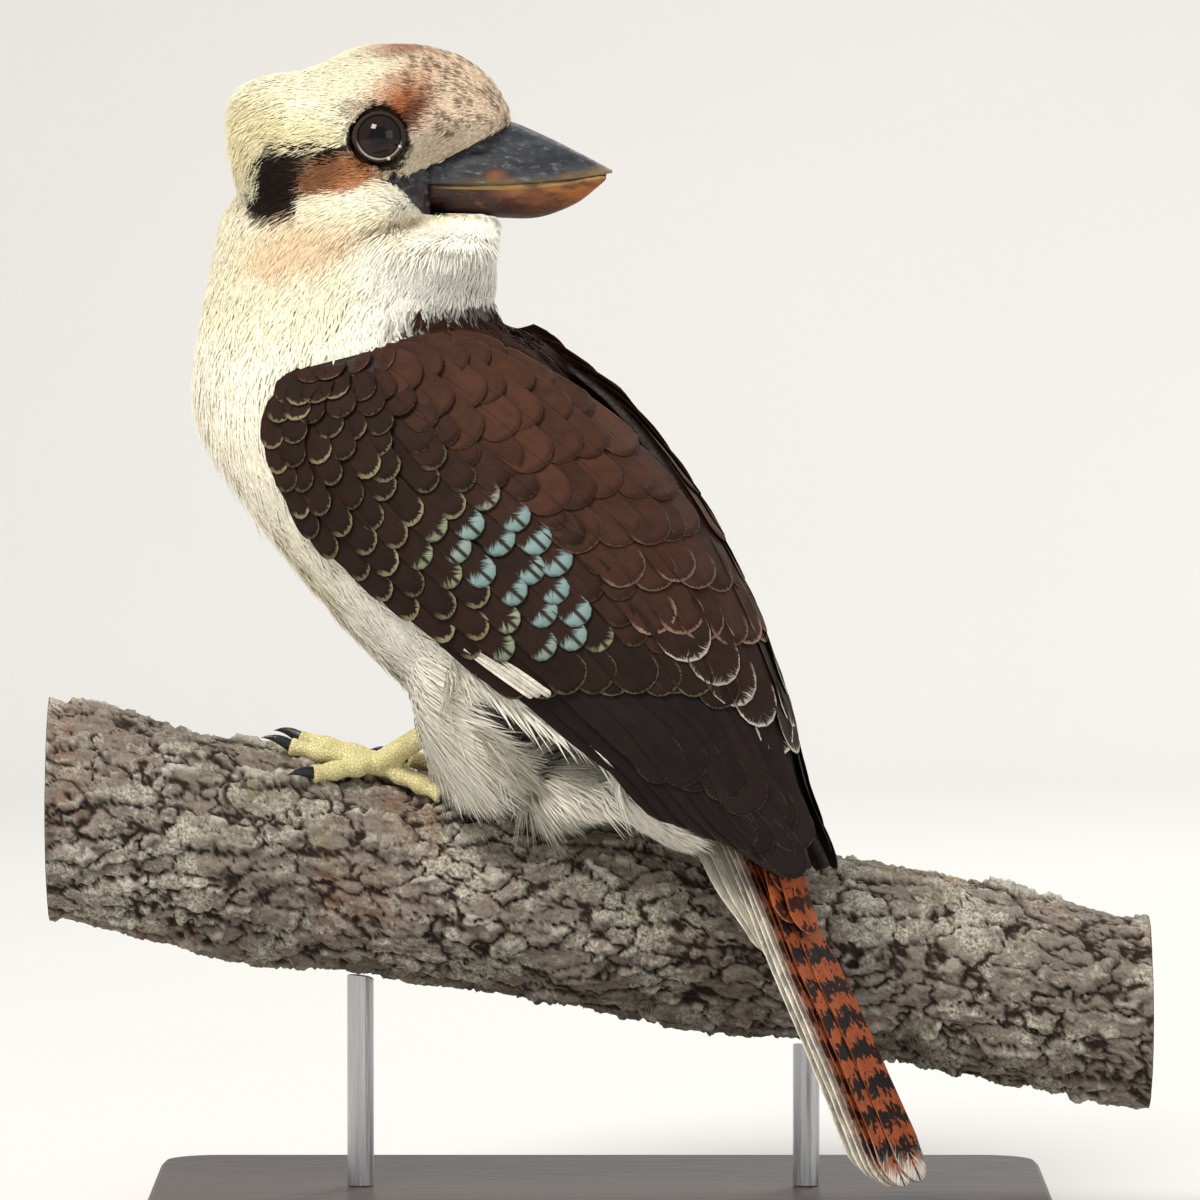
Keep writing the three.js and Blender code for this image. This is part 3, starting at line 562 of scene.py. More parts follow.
def sawn_wood(g, where):
    """Pale rings round the branch's axis under a dark rim, and where the sawn ends are."""
    left, right, axis = PERCH["left"], PERCH["right"], PERCH["axis"]
    x, y, z = g.split(where)
    end = g.math("GREATER_THAN", g.math("ABSOLUTE", x), right - 0.15 * MM)
    middle = g.add("MapRange", {"Value": x, "From Min": left, "From Max": right, "To Min": axis[0],
                                "To Max": axis[1]}).outputs[0]
    off = g.add("VectorMath", {0: g.vector(0.0, y, g.minus(z, middle))}, operation="LENGTH").outputs["Value"]
    reach = g.plus(off, g.times(g.noise(where, 60.0), 4 * MM))
    rings = g.step(g.math("SINE", g.times(reach, math.tau / (2.4 * MM))), -0.6, 0.9)
    wood = g.mix(rings, shade(186, 150, 108), shade(146, 106, 70))
    return end, g.mix(g.step(reach, 27 * MM, 29 * MM), wood, shade(78, 58, 46))


def bark_material():
    """Grey plates with lichen, moss and rusty stains, the higher plates painted lighter as lit and the lower
    darker as shade, over cracks painted dark as shade, and sawn wood at both ends.
    """
    mat, g, shader = material("bark_furrowed", Specular_IOR_Level=0.12)
    where = g.where()
    crack, level, _ = g.split(g.attribute("bark", "Vector"))
    patch = g.noise(where, 26.0, 4.0)
    grit = g.noise(where, 1100.0, 5.0, 0.75)
    streaks = g.noise(g.scaled(where, 0.35, 1.0, 1.0), 420.0, 4.0, 0.7)
    lichen = g.times(g.step(g.noise(where, 34.0, 5.0, 0.75), 0.47, 0.6), g.step(grit, 0.38, 0.58))
    moss = g.times(g.step(g.noise(where, 52.0, 4.0, 0.7), 0.6, 0.7), 0.45)
    rust = g.times(g.step(patch, 0.58, 0.68), g.step(streaks, 0.4, 0.6, 0.05, 0.4))
    # painted light and shade: higher plates lighter, lower plates darker
    plate = g.mix(g.step(level, 0.15, 0.85), shade(134, 124, 112), shade(186, 180, 166))
    for share, tint in ((g.step(streaks, 0.4, 0.72, 0.0, 0.6), shade(92, 80, 70)),
                        (g.times(lichen, 0.85), shade(196, 192, 174)), (moss, shade(132, 134, 96)),
                        (rust, shade(136, 88, 62))):
        plate = g.mix(share, plate, tint)
    # painted shade in the cracks
    colour = g.mix(g.step(crack, 0.1, 0.8), shade(46, 36, 30), plate)
    colour = g.valued(colour, g.step(grit, 0.2, 0.8, 0.8, 1.36))
    end, wood = sawn_wood(g, where)
    dress(g, shader, g.mix(end, colour, wood), g.step(grit, 0.2, 0.8, 0.85, 0.98))
    bump(g, shader, g.plus(grit, g.times(streaks, 0.8)), 0.0007, 0.8)
    return mat


def base_material():
    mat, g, shader = material("base_stained", Specular_IOR_Level=0.4, Coat_Weight=0.15, Coat_Roughness=0.25)
    grain = g.noise(g.scaled(g.where(), 1.0, 9.0, 9.0), 45.0, 6.0, 0.6)
    colour = g.mix(g.step(grain, 0.3, 0.7), shade(38, 28, 23), shade(70, 50, 38))
    dress(g, shader, colour, g.step(grain, 0.3, 0.7, 0.42, 0.55))
    bump(g, shader, grain, 0.0003, 0.4)
    return mat


def rod_material():
    mat, g, shader = material("rod_brushed", Metallic=1.0)
    brushed = g.noise(g.scaled(g.where(), 1.0, 1.0, 0.02), 3000.0, 3.0)
    colour = g.mix(g.step(brushed, 0.3, 0.7), (0.42, 0.42, 0.43), (0.6, 0.6, 0.6))
    dress(g, shader, colour, g.step(brushed, 0.3, 0.7, 0.25, 0.42))
    return mat


GRID_S, GRID_TURN = np.meshgrid(np.arange(0, 11.01, 0.05), np.radians(np.arange(-180, 180, 3.0)), indexing="ij")


def body_map():
    """A search tree over the trunk's surface."""
    points = over_body(GRID_S, GRID_TURN, 0.0).reshape(-1, 3)
    tree = kdtree.KDTree(len(points))
    for i, p in enumerate(points):
        tree.insert(p, i)
    tree.balance()
    return tree


BODY_TREE = body_map()


def body_place(p):
    """Station and turn of the trunk's nearest point."""
    nearest = np.array([BODY_TREE.find(q)[1] for q in p])
    return GRID_S.ravel()[nearest], GRID_TURN.ravel()[nearest]


def off_trunk(p, s, turn):
    return np.linalg.norm(p - over_body(s, turn, 0.0), axis=1)


def gape_edge(px, low):
    """Upper or lower edge of the bare skin at the corner of the mouth."""
    return np.interp(px, GAPE[:, 0], GAPE[:, 1 + low])


def behind_edge(px, py):
    """Profile units from the line where the face's feathers meet the bill."""
    at = np.stack([px, py], -1)
    nearest = np.full(np.shape(px), 1e9)
    for a, b in zip(FEATHER_EDGE[:-1], FEATHER_EDGE[1:]):
        t = np.clip(((at - a) @ (b - a)) / ((b - a) @ (b - a)), 0, 1)
        nearest = np.minimum(nearest, np.linalg.norm(at - a - t[..., None] * (b - a), axis=-1))
    return nearest


def coat_depth(px, py):
    """How far the skin lies under the tips of the plumage: least at the bill, most on the trunk."""
    face = smooth(350, 500, px) * smooth(HEAD_CUT, 216, py)
    deep = np.where(py < HEAD_CUT, lerp(2.0, 1.1, face), lerp(2.0, 2.6, smooth(HEAD_CUT, 330, py)))
    return MM * deep * lerp(0.25, 1, smooth(0, 30, behind_edge(px, py)))


def slim_to_bill(co):
    """Draws the face in to the bill's base, with the gape's hollow, a short chin and a rounded hind crown."""
    px, py, side = head_place(co)
    gape = np.exp(-(((px - 414) / 20) ** 2) - ((py - 187) / 17) ** 2) * (py < 232)
    chin = smooth(424, 450, px) * smooth(530, 500, px) * smooth(HEAD_CUT, 222, py) * smooth(205, 214, py)
    front = smooth(474, 514, px) * smooth(206, 218, py) * smooth(285, 250, py)
    hind = np.interp(px, *HIND_CROWN) * smooth(130, 88, py)
    px, py = px + 15 * gape - 12 * front, py - 4.5 * chin + hind
    bill_half = MM * np.interp(px, [412, 470, 505], [14.2, 14.6, 12.2])
    width = np.abs(side)
    near = smooth(36, 2, behind_edge(px, py)) * (px > 380) * (py < HEAD_CUT) * (py > 110)
    slim = lerp(width, np.minimum(width, bill_half + 0.5 * MM), near)
    return on_head(px, py, np.sign(side) * slim)


def fused(bm, name, size):
    """One closed surface round everything in the bmesh."""
    obj = from_bmesh(name, bm)
    remesh = obj.modifiers.new("fuse", "REMESH")
    remesh.mode, remesh.voxel_size = "VOXEL", size
    whole = bpy.data.meshes.new_from_object(obj.evaluated_get(bpy.context.evaluated_depsgraph_get()))
    bpy.data.objects.remove(obj)
    bm = bmesh.new()
    bm.from_mesh(whole)
    bpy.data.meshes.remove(whole)
    return bm


def soften(bm, times, factor=0.5, verts=None):
    for _ in range(times):
        bmesh.ops.smooth_vert(bm, verts=verts or bm.verts, factor=factor, use_axis_x=True, use_axis_y=True,
                              use_axis_z=True)
    bm.normal_update()


def add_tube(bm, name, along, around, place):
    """Joins a rolled tube to the bmesh."""
    tube = rolled(name, along, around, place)
    bm.from_mesh(tube.data)
    bpy.data.objects.remove(tube)


def stump_place(t, turn):
    """The tail's root, thinner towards its end and more so above."""
    lift = -2.0 * MM * (1 - t) ** 2 - MM * t * (1.5 + 4 * (np.sin(turn) > 0))
    return over_body(lerp(1.9, 0.95, t), turn, lift)


def flank_place(t, turn, mirror):
    """A pad that fills the flank between the trunk's recess and the wing's lower edge."""
    s = lerp(1.5, 5.6, t)
    across = 0.5 - 0.5 * np.cos(turn)
    low = np.interp(s, [1, 2, 3, 4, 5, 6], [0, -10, -21, -29, -27, -17])
    angle = np.radians(lerp(low, np.degrees(wing_turn(s, 0.0)) + 7, across))
    inside = -4 * MM * np.sin(math.pi * across) - 1.0 * MM
    lift = np.where(np.sin(turn) > 0, 0.4 * MM * np.sin(math.pi * t), inside)
    return over_body(s, mirrored(angle, mirror), lift)


FLESH = ("torso", "neck", "head", "thigh_left", "thigh_right")
VENT_AT, VENT_SIZE = (592, 778), (22, 20, 11)
SKIN_VOXEL = 1.7 * MM
REAR_PY = 640  # what lies lower is smoothed more


def make_skin():
    """One closed skin under the coat: the flesh nodes, the tail's root, the flanks and the vent in one."""
    bm = bmesh.new()
    for node in FLESH:
        bm.from_mesh(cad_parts[node].data)
    add_tube(bm, "tail_root", 24, 40, stump_place)
    for mirror in (1, -1):
        add_tube(bm, "flank", 40, 24, functools.partial(flank_place, mirror=mirror))
    middle = Vector(on_body(metres_x(VENT_AT[0]), metres_z(VENT_AT[1]), 0.0))
    for v in bmesh.ops.create_icosphere(bm, subdivisions=3, radius=1.0)["verts"]:
        v.co = Vector([c * size * MM for c, size in zip(v.co, VENT_SIZE)]) + middle
    bm = fused(bm, "skin", SKIN_VOXEL)
    soften(bm, 6)
    px, py, _ = head_place(points_of(bm.verts))
    for v, depth in zip(bm.verts, coat_depth(px, py)):
        v.co -= v.normal * depth
    soften(bm, 24, verts=[v for v in bm.verts if v.co.z < metres_z(REAR_PY)])
    for v, co in zip(bm.verts, slim_to_bill(points_of(bm.verts))):
        v.co = co
    soften(bm, 2)
    return from_bmesh("skin", bm)


# the head's markings and a thin line of painted shadow along the fold under the cheek, in order: px, py, radii,
# softness, tilt, power, strength, where they end, colour
HEAD_MARKS_AND_SHADOW = [
    (258, 138, 36, 40, 0.35, 0, 2, 1, "head", lerp(CREAM, STRAW, 0.6)),
    (306, 134, 46, 12, 0.6, 0.1, 2, 0.7, "head", STRAW),
    (404, 94, 36, 19, 0.6, -0.55, 2, 0.75, "head", lerp(RUFOUS, BUFF, 0.25)),
    (414, 108, 19, 21, 0.5, 0.6, 2, 0.9, "head", RUFOUS),
    (420, 114, 10, 16, 0.6, 0.4, 2, 0.8, "head", UMBER),
    (360, 110, 15, 5, 0.7, -0.5, 2, 0.45, "head", UMBER),
    (442, 150, 50, 20, 0.5, -0.5, 2, 0.85, "head", lerp(PINK_BUFF, GREY_DOWN, 0.5)),
    (346, 174, 46, 21, 0.35, -0.16, 2, 0.95, "head", ORANGE),
    (322, 170, 26, 24, 0.6, -0.1, 2, 0.6, "head", UMBER),
    (325, 154, 46, 7, 0.45, -0.2, 2, 1, "head", SOOT),
    (284, 190, 24, 42, 0.16, 0.16, 4, 1, "nape", SOOT),
    (400, 203, 44, 14, 0.4, 0.05, 2, 1, "head", lerp(CREAM, WHITE, 0.6)),
    (305, 256, 58, 28, 0.5, -0.2, 2, 0.8, "all", BUFF),
    # a thin line of painted shadow along the fold under the cheek
    (386, 238, 50, 5, 0.6, -0.38, 2, 0.8, "all", lerp(BUFF, UMBER, 0.7)),
]


def markings_and_shadow(p, s, turn, wobble):
    """Plumage colour, with a thin line of painted shadow under the cheek: the head's by its profile, the trunk's
    by station and turn, with borders that wobble.
    """
    px, py, _ = head_place(p)
    bare = (px > 392) & (px < 450) & (py > gape_edge(px, 0) - 1) & (py < gape_edge(px, 1) + 1)
    px, py = px + 7 * wobble[0], py + 7 * wobble[1]
    c = painted(len(p), CREAM)
    head = smooth(246, 226, py) * smooth(640, 560, px)
    reaches = {"head": head, "nape": smooth(238, 230, py), "all": 1.0}
    crown = smooth(70, 50, py) * smooth(350, 400, px) * smooth(490, 440, px)
    c = blend(c, head * crown * 0.85, lerp(RUFOUS, UMBER, 0.3))
    c = blend(c, head * smooth(408, 436, px) * smooth(150, 122, py) * 0.9, PINK_BUFF)
    for x, y, rx, ry, soft, tilt, power, strength, reach, colour in HEAD_MARKS_AND_SHADOW:
        c = blend(c, reaches[reach] * spot(px, py, x, y, rx, ry, soft, tilt, power) * strength, colour)
    throat = smooth(HEAD_CUT, 258, py + 0.35 * (px - 400)) * smooth(345, 395, px)
    c = blend(blend(c, throat, WHITE), 1.0 * bare, BARE_SKIN)

    body = smooth(250, 300, py)
    c = blend(c, body * smooth(330, 380, py) * 0.6, WHITE)
    flank = body * smooth(430, 520, py) * np.abs(np.cos(turn)) * smooth(0.2, -0.5, np.sin(turn))
    c = blend(c, flank * 0.25, GREY_DOWN)
    high = np.degrees(folded(turn))
    back = smooth(7.45, 6.95, s + 0.12 * wobble[0]) * smooth(34, 52, high + 5 * wobble[1])
    back = back * smooth(300, 318, py)
    c = blend(c, back, lerp(MANTLE, WING_DARK, 0.6))
    close = off_trunk(p, s, turn) < 5 * MM
    c = blend(c, smooth(3.2, 2.4, s) * smooth(30, 55, high) * close, lerp(TAIL_RUFOUS, UMBER, 0.5))
    return blend(c, smooth(2.3, 1.9, s) * smooth(4, 18, high) * close, lerp(TAIL_RUFOUS, UMBER, 0.6))


def roughness_of(p):
    """Two smooth random numbers for each point, for the borders of markings."""
    q = p / (9 * MM)
    return np.array([[noise.noise((a + shift, b, c)) for a, b, c in q] for shift in (0.0, 31.7)])


def flow_at(p, n, s, turn):
    """The way a feather lies: from bill to nape over the head, then down the trunk and down the thighs."""
    px, py, _ = head_place(p)
    start = np.maximum(s, 0.14)
    down_trunk = unit(over_body(start - 0.12, turn, 0.0) - over_body(start, turn, 0.0))
    thigh = np.zeros(len(p))
    for low, high in THIGHS:
        beyond = np.linalg.norm(np.maximum(np.maximum(low - p, p - high), 0), axis=1)
        thigh = np.maximum(thigh, smooth(3 * MM, 0, beyond))
    thigh = (thigh * smooth(4 * MM, 9 * MM, off_trunk(p, s, turn)))[:, None]
    down_trunk = unit(lerp(down_trunk, np.array([0.35, 0.0, -1.0]), thigh))
    ahead = np.array([math.cos(HEAD_YAW), -math.sin(HEAD_YAW), 0.0])
    drop = 0.12 + 1.3 * smooth(310, 236, px) * smooth(90, 150, py) + 0.5 * smooth(170, 225, py)
    drop = drop + 3.0 * smooth(198, 220, py) * smooth(430, 475, px)
    over_head = -ahead + np.array([0, 0, -1.0]) * drop[:, None]
    v = lerp(unit(over_head), down_trunk, smooth(205, 262, py)[:, None])
    for eye in EYES:
        towards = eye - p
        away = np.linalg.norm(towards, axis=1)
        towards = unit(towards)
        meets = np.maximum(np.sum(v * towards, 1), 0) * smooth(15 * MM, 9 * MM, away)
        v = v - towards * (meets * 0.95)[:, None]
    v = v - n * np.sum(v * n, 1, keepdims=True)
    return unit(v + 1e-6)


def sprinkle(skin, spacing_of, keep):
    """Feather roots over the skin, denser where spacing is small."""
    mesh = skin.data
    mesh.calc_loop_triangles()
    co, nor = read_out(mesh.vertices, "co", 3), read_out(mesh.vertices, "normal", 3)
    tri = read_out(mesh.loop_triangles, "vertices", 3, np.int32)
    a, b, c = co[tri[:, 0]], co[tri[:, 1]], co[tri[:, 2]]
    area = 0.5 * np.linalg.norm(np.cross(b - a, c - a), axis=1)
    centre = (a + b + c) / 3
    wanted = np.where(keep(centre), area / spacing_of(centre) ** 2, 0)
    total = int(wanted.sum())
    edges = np.cumsum(wanted)
    pick = np.searchsorted(edges, (np.arange(total) + rng.random(total)) / total * edges[-1])
    pick = np.minimum(pick, len(tri) - 1)
    u, v = rng.random(total), rng.random(total)
    u, v = np.where(u + v > 1, 1 - u, u), np.where(u + v > 1, 1 - v, v)
    w = np.stack([1 - u - v, u, v], 1)[:, :, None]
    return (co[tri[pick]] * w).sum(1), unit((nor[tri[pick]] * w).sum(1))


# a strand: three corners at its root, three on its way and one at its tip, as shares of length, rise and width
STRAND_RINGS = ((0.0, -0.3, 0.8), (0.45, 0.62, 1.0), (1.0, 0.92, 0.0))
STRAND_QUADS = np.array([[0, 1, 4, 3], [1, 2, 5, 4], [2, 0, 3, 5]])
STRAND_TRIS = np.array([[3, 4, 6], [4, 5, 6], [5, 3, 6], [0, 2, 1]])
STRAND_CORNERS, STRAND_FACES = 7, 10
STRAND_LEAN = np.array([0.4, 0, -0.4, 0.4, 0, -0.4, 0])[None, None, :, None]
STRAND_STREAK = np.array([0, 0, 0, 0.7, 0.7, 0.7, 1])[:, None]
STRAND_MAP_ACROSS = np.array([0.05, 0, -0.05, 0.05, 0, -0.05, 0])
STRAND_MAP_ALONG = np.array([0, 0, 0, 0.45, 0.45, 0.45, 1.0])
FAN = 0.3  # half the angle that a tuft's strands spread over
COAT_TONE = 0.84


def round_normals(up, across, way):
    """Normals that make a flat tuft look rounded, and plain undersides."""
    facing = unit(up[:, :, None] + across[:, :, None] * STRAND_LEAN + way[:, :, None] * 0.12)
    facing = facing.reshape(-1, STRAND_CORNERS, 3)
    down = -up.reshape(-1, 1, 1, 3)
    four = np.concatenate([facing[:, STRAND_QUADS[:2]].reshape(-1, 2, 4, 3),
                           np.broadcast_to(down, (len(facing), 1, 4, 3))], 1)
    three = np.concatenate([facing[:, STRAND_TRIS[:2]].reshape(-1, 2, 3, 3),
                            np.broadcast_to(down, (len(facing), 2, 3, 3))], 1)
    return np.concatenate([four.reshape(-1, 3), three.reshape(-1, 3)]).tolist()


def coat_map(p, s, turn, k, shape):
    """A patch of the map for each feather, at its root's place round and along the body."""
    px, py, side = head_place(p)
    round_head = np.arctan2(side, (py - 175) * UNIT)
    place = np.where((py < HEAD_CUT)[:, None],
                     np.stack([0.52 + 0.44 * (round_head / math.tau + 0.5), 0.05 + 0.9 * (px - 200) / 340], 1),
                     np.stack([0.02 + 0.46 * (turn / math.tau + 0.5), 0.04 + 0.084 * s], 1))
    across = k[..., None] * 0.2 + 0.5 + STRAND_MAP_ACROSS
    patch = np.stack([across, np.broadcast_to(STRAND_MAP_ALONG, shape)], -1)
    return np.clip(place[:, None, None] + 0.003 * (patch - 0.5), 0.001, 0.999).reshape(-1, 2)


def tufts(name, strands, p, n, length, width, rise, lean, colour, streak):
    """One soft feather for each root: a fan of thin tapering strands lying along the body, as one mesh."""
    count = len(p)
    s, turn = body_place(p)
    t = flow_at(p, n, s, turn)
    t = unit(t + np.cross(n, t) * rng.normal(0, 0.1, (count, 1)))
    b = np.cross(n, t)
    k = np.linspace(-1, 1, strands)[None, :] + rng.normal(0, 0.12, (count, strands))
    size = length[:, None] * (1 - 0.2 * k * k) * rng.uniform(0.8, 1.12, (count, strands))
    cos, sin = np.cos(k * FAN)[..., None], np.sin(k * FAN)[..., None]
    way = t[:, None] * cos + b[:, None] * sin
    across = b[:, None] * cos - t[:, None] * sin
    up = np.broadcast_to(n[:, None], way.shape)
    root = p[:, None] + b[:, None] * (k * width[:, None] * strands * 0.3)[..., None]
    tall = (rise[:, None] * rng.uniform(0.75, 1.1, (count, strands)))[..., None]
    rings = []
    for share, high, wide in STRAND_RINGS:
        bend = (size * share)[..., None] ** 2 * lean[:, None, None]
        centre = root + way * (size * share)[..., None] + up * (tall * high - bend)
        w = (width[:, None] * wide)[..., None]
        ring = [centre + across * w * 0.5, centre + up * w * 0.25, centre - across * w * 0.5]
        rings.append(np.stack(ring if wide else [centre], 2))
    verts = np.concatenate(rings, 2)
    first = (np.arange(count * strands) * STRAND_CORNERS)[:, None, None]
    obj = mesh_object(name, verts.reshape(-1, 3), (first + STRAND_QUADS).reshape(-1, 4),
                      (first + STRAND_TRIS).reshape(-1, 3))
    obj.data.normals_split_custom_set(round_normals(up, across, way))
    tint = rng.normal(1, 0.03, (count, 1, 1)) * rng.normal(1, 0.05, (count, strands, 1))
    tone = np.repeat((colour[:, None] * tint)[:, :, None], STRAND_CORNERS, 2)
    tone[:, :, 0:3] *= COAT_TONE
    inner = (np.exp(-((k / 0.85) ** 4)) * streak[:, None])[..., None, None] * STRAND_STREAK
    tone = tone + (UMBER * 0.7 - tone) * inner
    put(obj, "plumage", np.clip(tone, 0.003, 1).reshape(-1, 3))
    set_uv(obj, coat_map(p, s, turn, k, verts.shape[:3]))
    return obj


def face_share(px, py):
    return smooth(300, 430, px) * smooth(HEAD_CUT, 220, py)


def spacing(q):
    """Distance between feather roots: least on the face, most on the neck and breast."""
    px, py, _ = head_place(q)
    trunk = lerp(1.5, lerp(2.2, 1.75, smooth(620, 700, py)), smooth(HEAD_CUT, 300, py))
    return MM * np.where(py < HEAD_CUT, lerp(1.45, 1.0, face_share(px, py)), trunk)


def feathered(q):
    """Where feathers grow: not under the wings, in the mouth, the gape or the eyes, nor over the tail's root."""
    s, turn = body_place(q)
    off = folded(turn)
    low, high = wing_turn(np.minimum(s, 7), 0.0), wing_turn(np.minimum(s, 7), 1.0)
    above_edge = off > low + np.radians(lerp(-3, 8, smooth(3.2, 5.2, s)))
    under_wing = above_edge & (off < high - math.radians(6)) & (s < WING_BEND - 0.15)
    px, py, side = head_place(q)
    in_mouth = (behind_edge(px, py) < 4.0) & (np.abs(side) < 9 * MM) & (px > 404) & (py > 118)
    eye_px, eye_py, _ = head_place(np.mean(EYES, 0))
    near_eye = np.hypot(px - eye_px, py - eye_py) * UNIT < 7.9 * MM
    in_gape = (px > 381) & (px < 442) & (py > gape_edge(px, 0) - 3) & (py < gape_edge(px, 1) + 2)
    upper_side = np.degrees(off) > lerp(-22, 0, smooth(1.2, 1.9, s))
    over_tail_root = (s < 0.75) | (s < 1.9) & upper_side & (py > 500)
    return ~under_wing & ~in_mouth & ~near_eye & ~in_gape & ~over_tail_root


PIECE_TRIANGLES = 190000  # the most that one piece of the coat holds


def make_plumage(skin, look):
    """The whole coat, in pieces by region; each region takes what the ones before it left."""
    p, n = sprinkle(skin, spacing, feathered)
    count = len(p)
    s, turn = body_place(p)
    px, py, _ = head_place(p)
    is_head = py < HEAD_CUT
    face, trunk = face_share(px, py), smooth(HEAD_CUT, 330, py)
    edge = behind_edge(px, py)
    high = np.degrees(folded(turn))
    corner = smooth(290, 240, px) * smooth(190, 110, py)
    shoulder = smooth(7.35, 6.95, s) * (s > 6.3) * smooth(-14, 6, high) * smooth(88, 70, high)
    vent = smooth(3.7, 2.9, s) * smooth(1.5, 1.9, s) * smooth(0, -45, high)

    length = MM * np.where(is_head, lerp(9.5, 5.2, face) * lerp(0.6, 1, smooth(0, 40, edge)),
                           lerp(9.5, 17, trunk))
    length = length * rng.uniform(0.85, 1.15, count) * lerp(1, 1.25, smooth(3.6, 2.4, s) * (py > 400))
    away = np.min([np.linalg.norm(p - e, axis=1) for e in EYES], 0)
    length = length * lerp(0.4, 1, smooth(9.2 * MM, 14 * MM, away))
    middle = p + flow_at(p, n, s, turn) * (length * 0.55)[:, None]
    colour = markings_and_shadow(middle, *body_place(middle), roughness_of(p))
    rise = coat_depth(px, py) * (1 + 1.6 * corner * rng.random(count))
    rise = rise + 4.4 * MM * shoulder + 0.8 * MM * vent * rng.uniform(0.2, 1, count)
    length = length * (1 + 0.35 * corner) * (1 + 0.1 * vent + shoulder * rng.uniform(-0.2, 0.5, count))
    length = length * lerp(1, 0.6, smooth(1.9, 1.0, s) * (py > 400))
    length = length * lerp(1, 0.6, spot(px, py, 580, 792, 32, 26, 0.4))

    streak = np.where((px > 420) & (py < 132) & (py > 40) & (rng.random(count) < 0.16), 0.95, 0.0)
    streak = np.where((edge < 40) & (py < 172) & (rng.random(count) < 0.16), 0.45, streak)
    streak = np.where((py < 128) & (px <= 420) & (rng.random(count) < 0.1), 0.4, streak)
    strong = streak > 0.5
    width = MM * np.where(is_head, lerp(0.5, 0.38, face), lerp(0.55, 0.8, trunk)) * (1 + 0.7 * strong)
    rise = rise + 0.3 * MM * strong
    lean = np.where(is_head, 1 / 0.075, 1 / 0.13)
    coat = dict(p=p, n=n, length=length, width=width, rise=rise, lean=lean, colour=colour, streak=streak)

    free = np.ones(count, bool)
    for part, strands, region in (
            ("crown", 6, (py < 128) & (px < 410)), ("forehead", 6, (py < 150) & (px >= 410)),
            ("cheeks", 6, is_head & (px >= 300)), ("nape", 6, is_head),
            ("throat", 7, (py < 300) & (px >= 350)), ("neck", 7, py < 300), ("breast", 7, s > 5.2),
            ("belly", 7, s > 3.4), ("vent", 7, free)):
        index = np.flatnonzero(region & free)
        free = free & ~region
        most = PIECE_TRIANGLES // (strands * STRAND_FACES)
        for number, chunk in enumerate(np.array_split(index, max(1, math.ceil(len(index) / most)))):
            piece = {key: rows[chunk] for key, rows in coat.items()}
            finish_piece(tufts(f"plumage_{part}_{number + 1}", strands, **piece), "plumage", look)


def lay_vanes(place, root, tip, lifts, width, rows, cols, tilt, bulge, mirror, rounding):
    """Both sides of a row of vanes, as arrays of vane, row, column and x, y, z, with the finish's numbers."""
    v = 1 - (1 - np.linspace(0, 1, rows + 1)) ** 1.5
    turn = np.linspace(-math.pi / 2, math.pi / 2, cols + 1)
    u = np.sin(turn)
    run = tip - root
    a = root[:, 0, None] + run[:, 0, None] * v
    b = root[:, 1, None] + run[:, 1, None] * v
    lift = lifts[0][:, None] + (lifts[1] - lifts[0])[:, None] * v
    at = place(a, b, lift)
    ahead = unit(place(a + run[:, 0, None] * 0.03, b + run[:, 1, None] * 0.03, lift) - at)
    out = unit(place(a, b, lift + MM) - at)
    across = unit(np.cross(out, ahead)) * mirror
    long = np.linalg.norm(np.diff(at, axis=1), axis=-1).sum(1)
    half = width[:, None] / 2 * (0.4 + 0.6 * smooth(0, 0.5, v))
    fray = 1 + rng.normal(0, 0.025, (len(root), rows + 1, 2))
    side = u[None, None] * half[..., None] * np.where(u < 0, fray[..., :1], fray[..., 1:])
    back = (half * smooth(0.3, 1, v))[..., None] * rounding * (1 - np.cos(turn))
    fall = side**2 / (2 * bulge) + side * tilt
    ridge = 0.1 * MM * np.exp(-(side / (0.5 * MM)) ** 2)
    upper = at[:, :, None] + across[:, :, None] * side[..., None] - ahead[:, :, None] * back[..., None]
    upper = upper - out[:, :, None] * (fall - ridge)[..., None]
    thick = MM * (0.24 - 0.14 * np.abs(u))[None, None, :, None]
    lower = upper - out[:, :, None] * thick
    y = v[None, :, None] * long[:, None, None] - back
    rim = np.minimum(half[..., None] * (1 - np.abs(u)), (1 - v)[None, :, None] * long[:, None, None] * 0.9)
    shape = np.stack([side, y, rim + 0 * side], -1) / MM
    share = v[None, :, None] - 0.7 * back / long[:, None, None]
    return upper, lower, shape, share


def vane_batch(laid, base, tone, tip_colour, reach, edge, bars):
    """A row of vanes with the numbers that the vane finish reads, one of each for every vane."""
    count = len(laid[0])
    full = [np.broadcast_to(rows, (count, 3)) for rows in (base, tip_colour)]
    return dict(zip(("upper", "lower", "shape", "share"), laid), edge=edge, bars=bars,
                base=np.column_stack([full[0], tone]), tip=np.column_stack([full[1], reach]))


def vane_faces(upper, lower):
    """Faces of one vane with both sides and its rim, as corner numbers, all turned outwards."""
    _, r, c, _ = upper.shape
    grid = np.arange(r * c).reshape(r, c)
    cells = np.stack([grid[:-1, :-1], grid[1:, :-1], grid[1:, 1:], grid[:-1, 1:]], -1).reshape(-1, 4)
    lines = np.concatenate([grid[0, :], grid[1:, -1], grid[-1, -2::-1], grid[-2:0:-1, 0]])
    following = np.roll(lines, -1)
    rim = np.stack([lines, following, following + r * c, lines + r * c], -1)
    corner = upper[0, 0, 0]
    inwards = np.dot(np.cross(upper[0, 1, 0] - corner, upper[0, 0, 1] - corner), (upper - lower)[0, 0, 0]) < 0
    if inwards:
        return np.concatenate([cells[:, ::-1], cells + r * c]), rim[:, ::-1]
    return np.concatenate([cells, cells[:, ::-1] + r * c]), rim


MAP_MARGIN = 0.06  # of each cell of the map


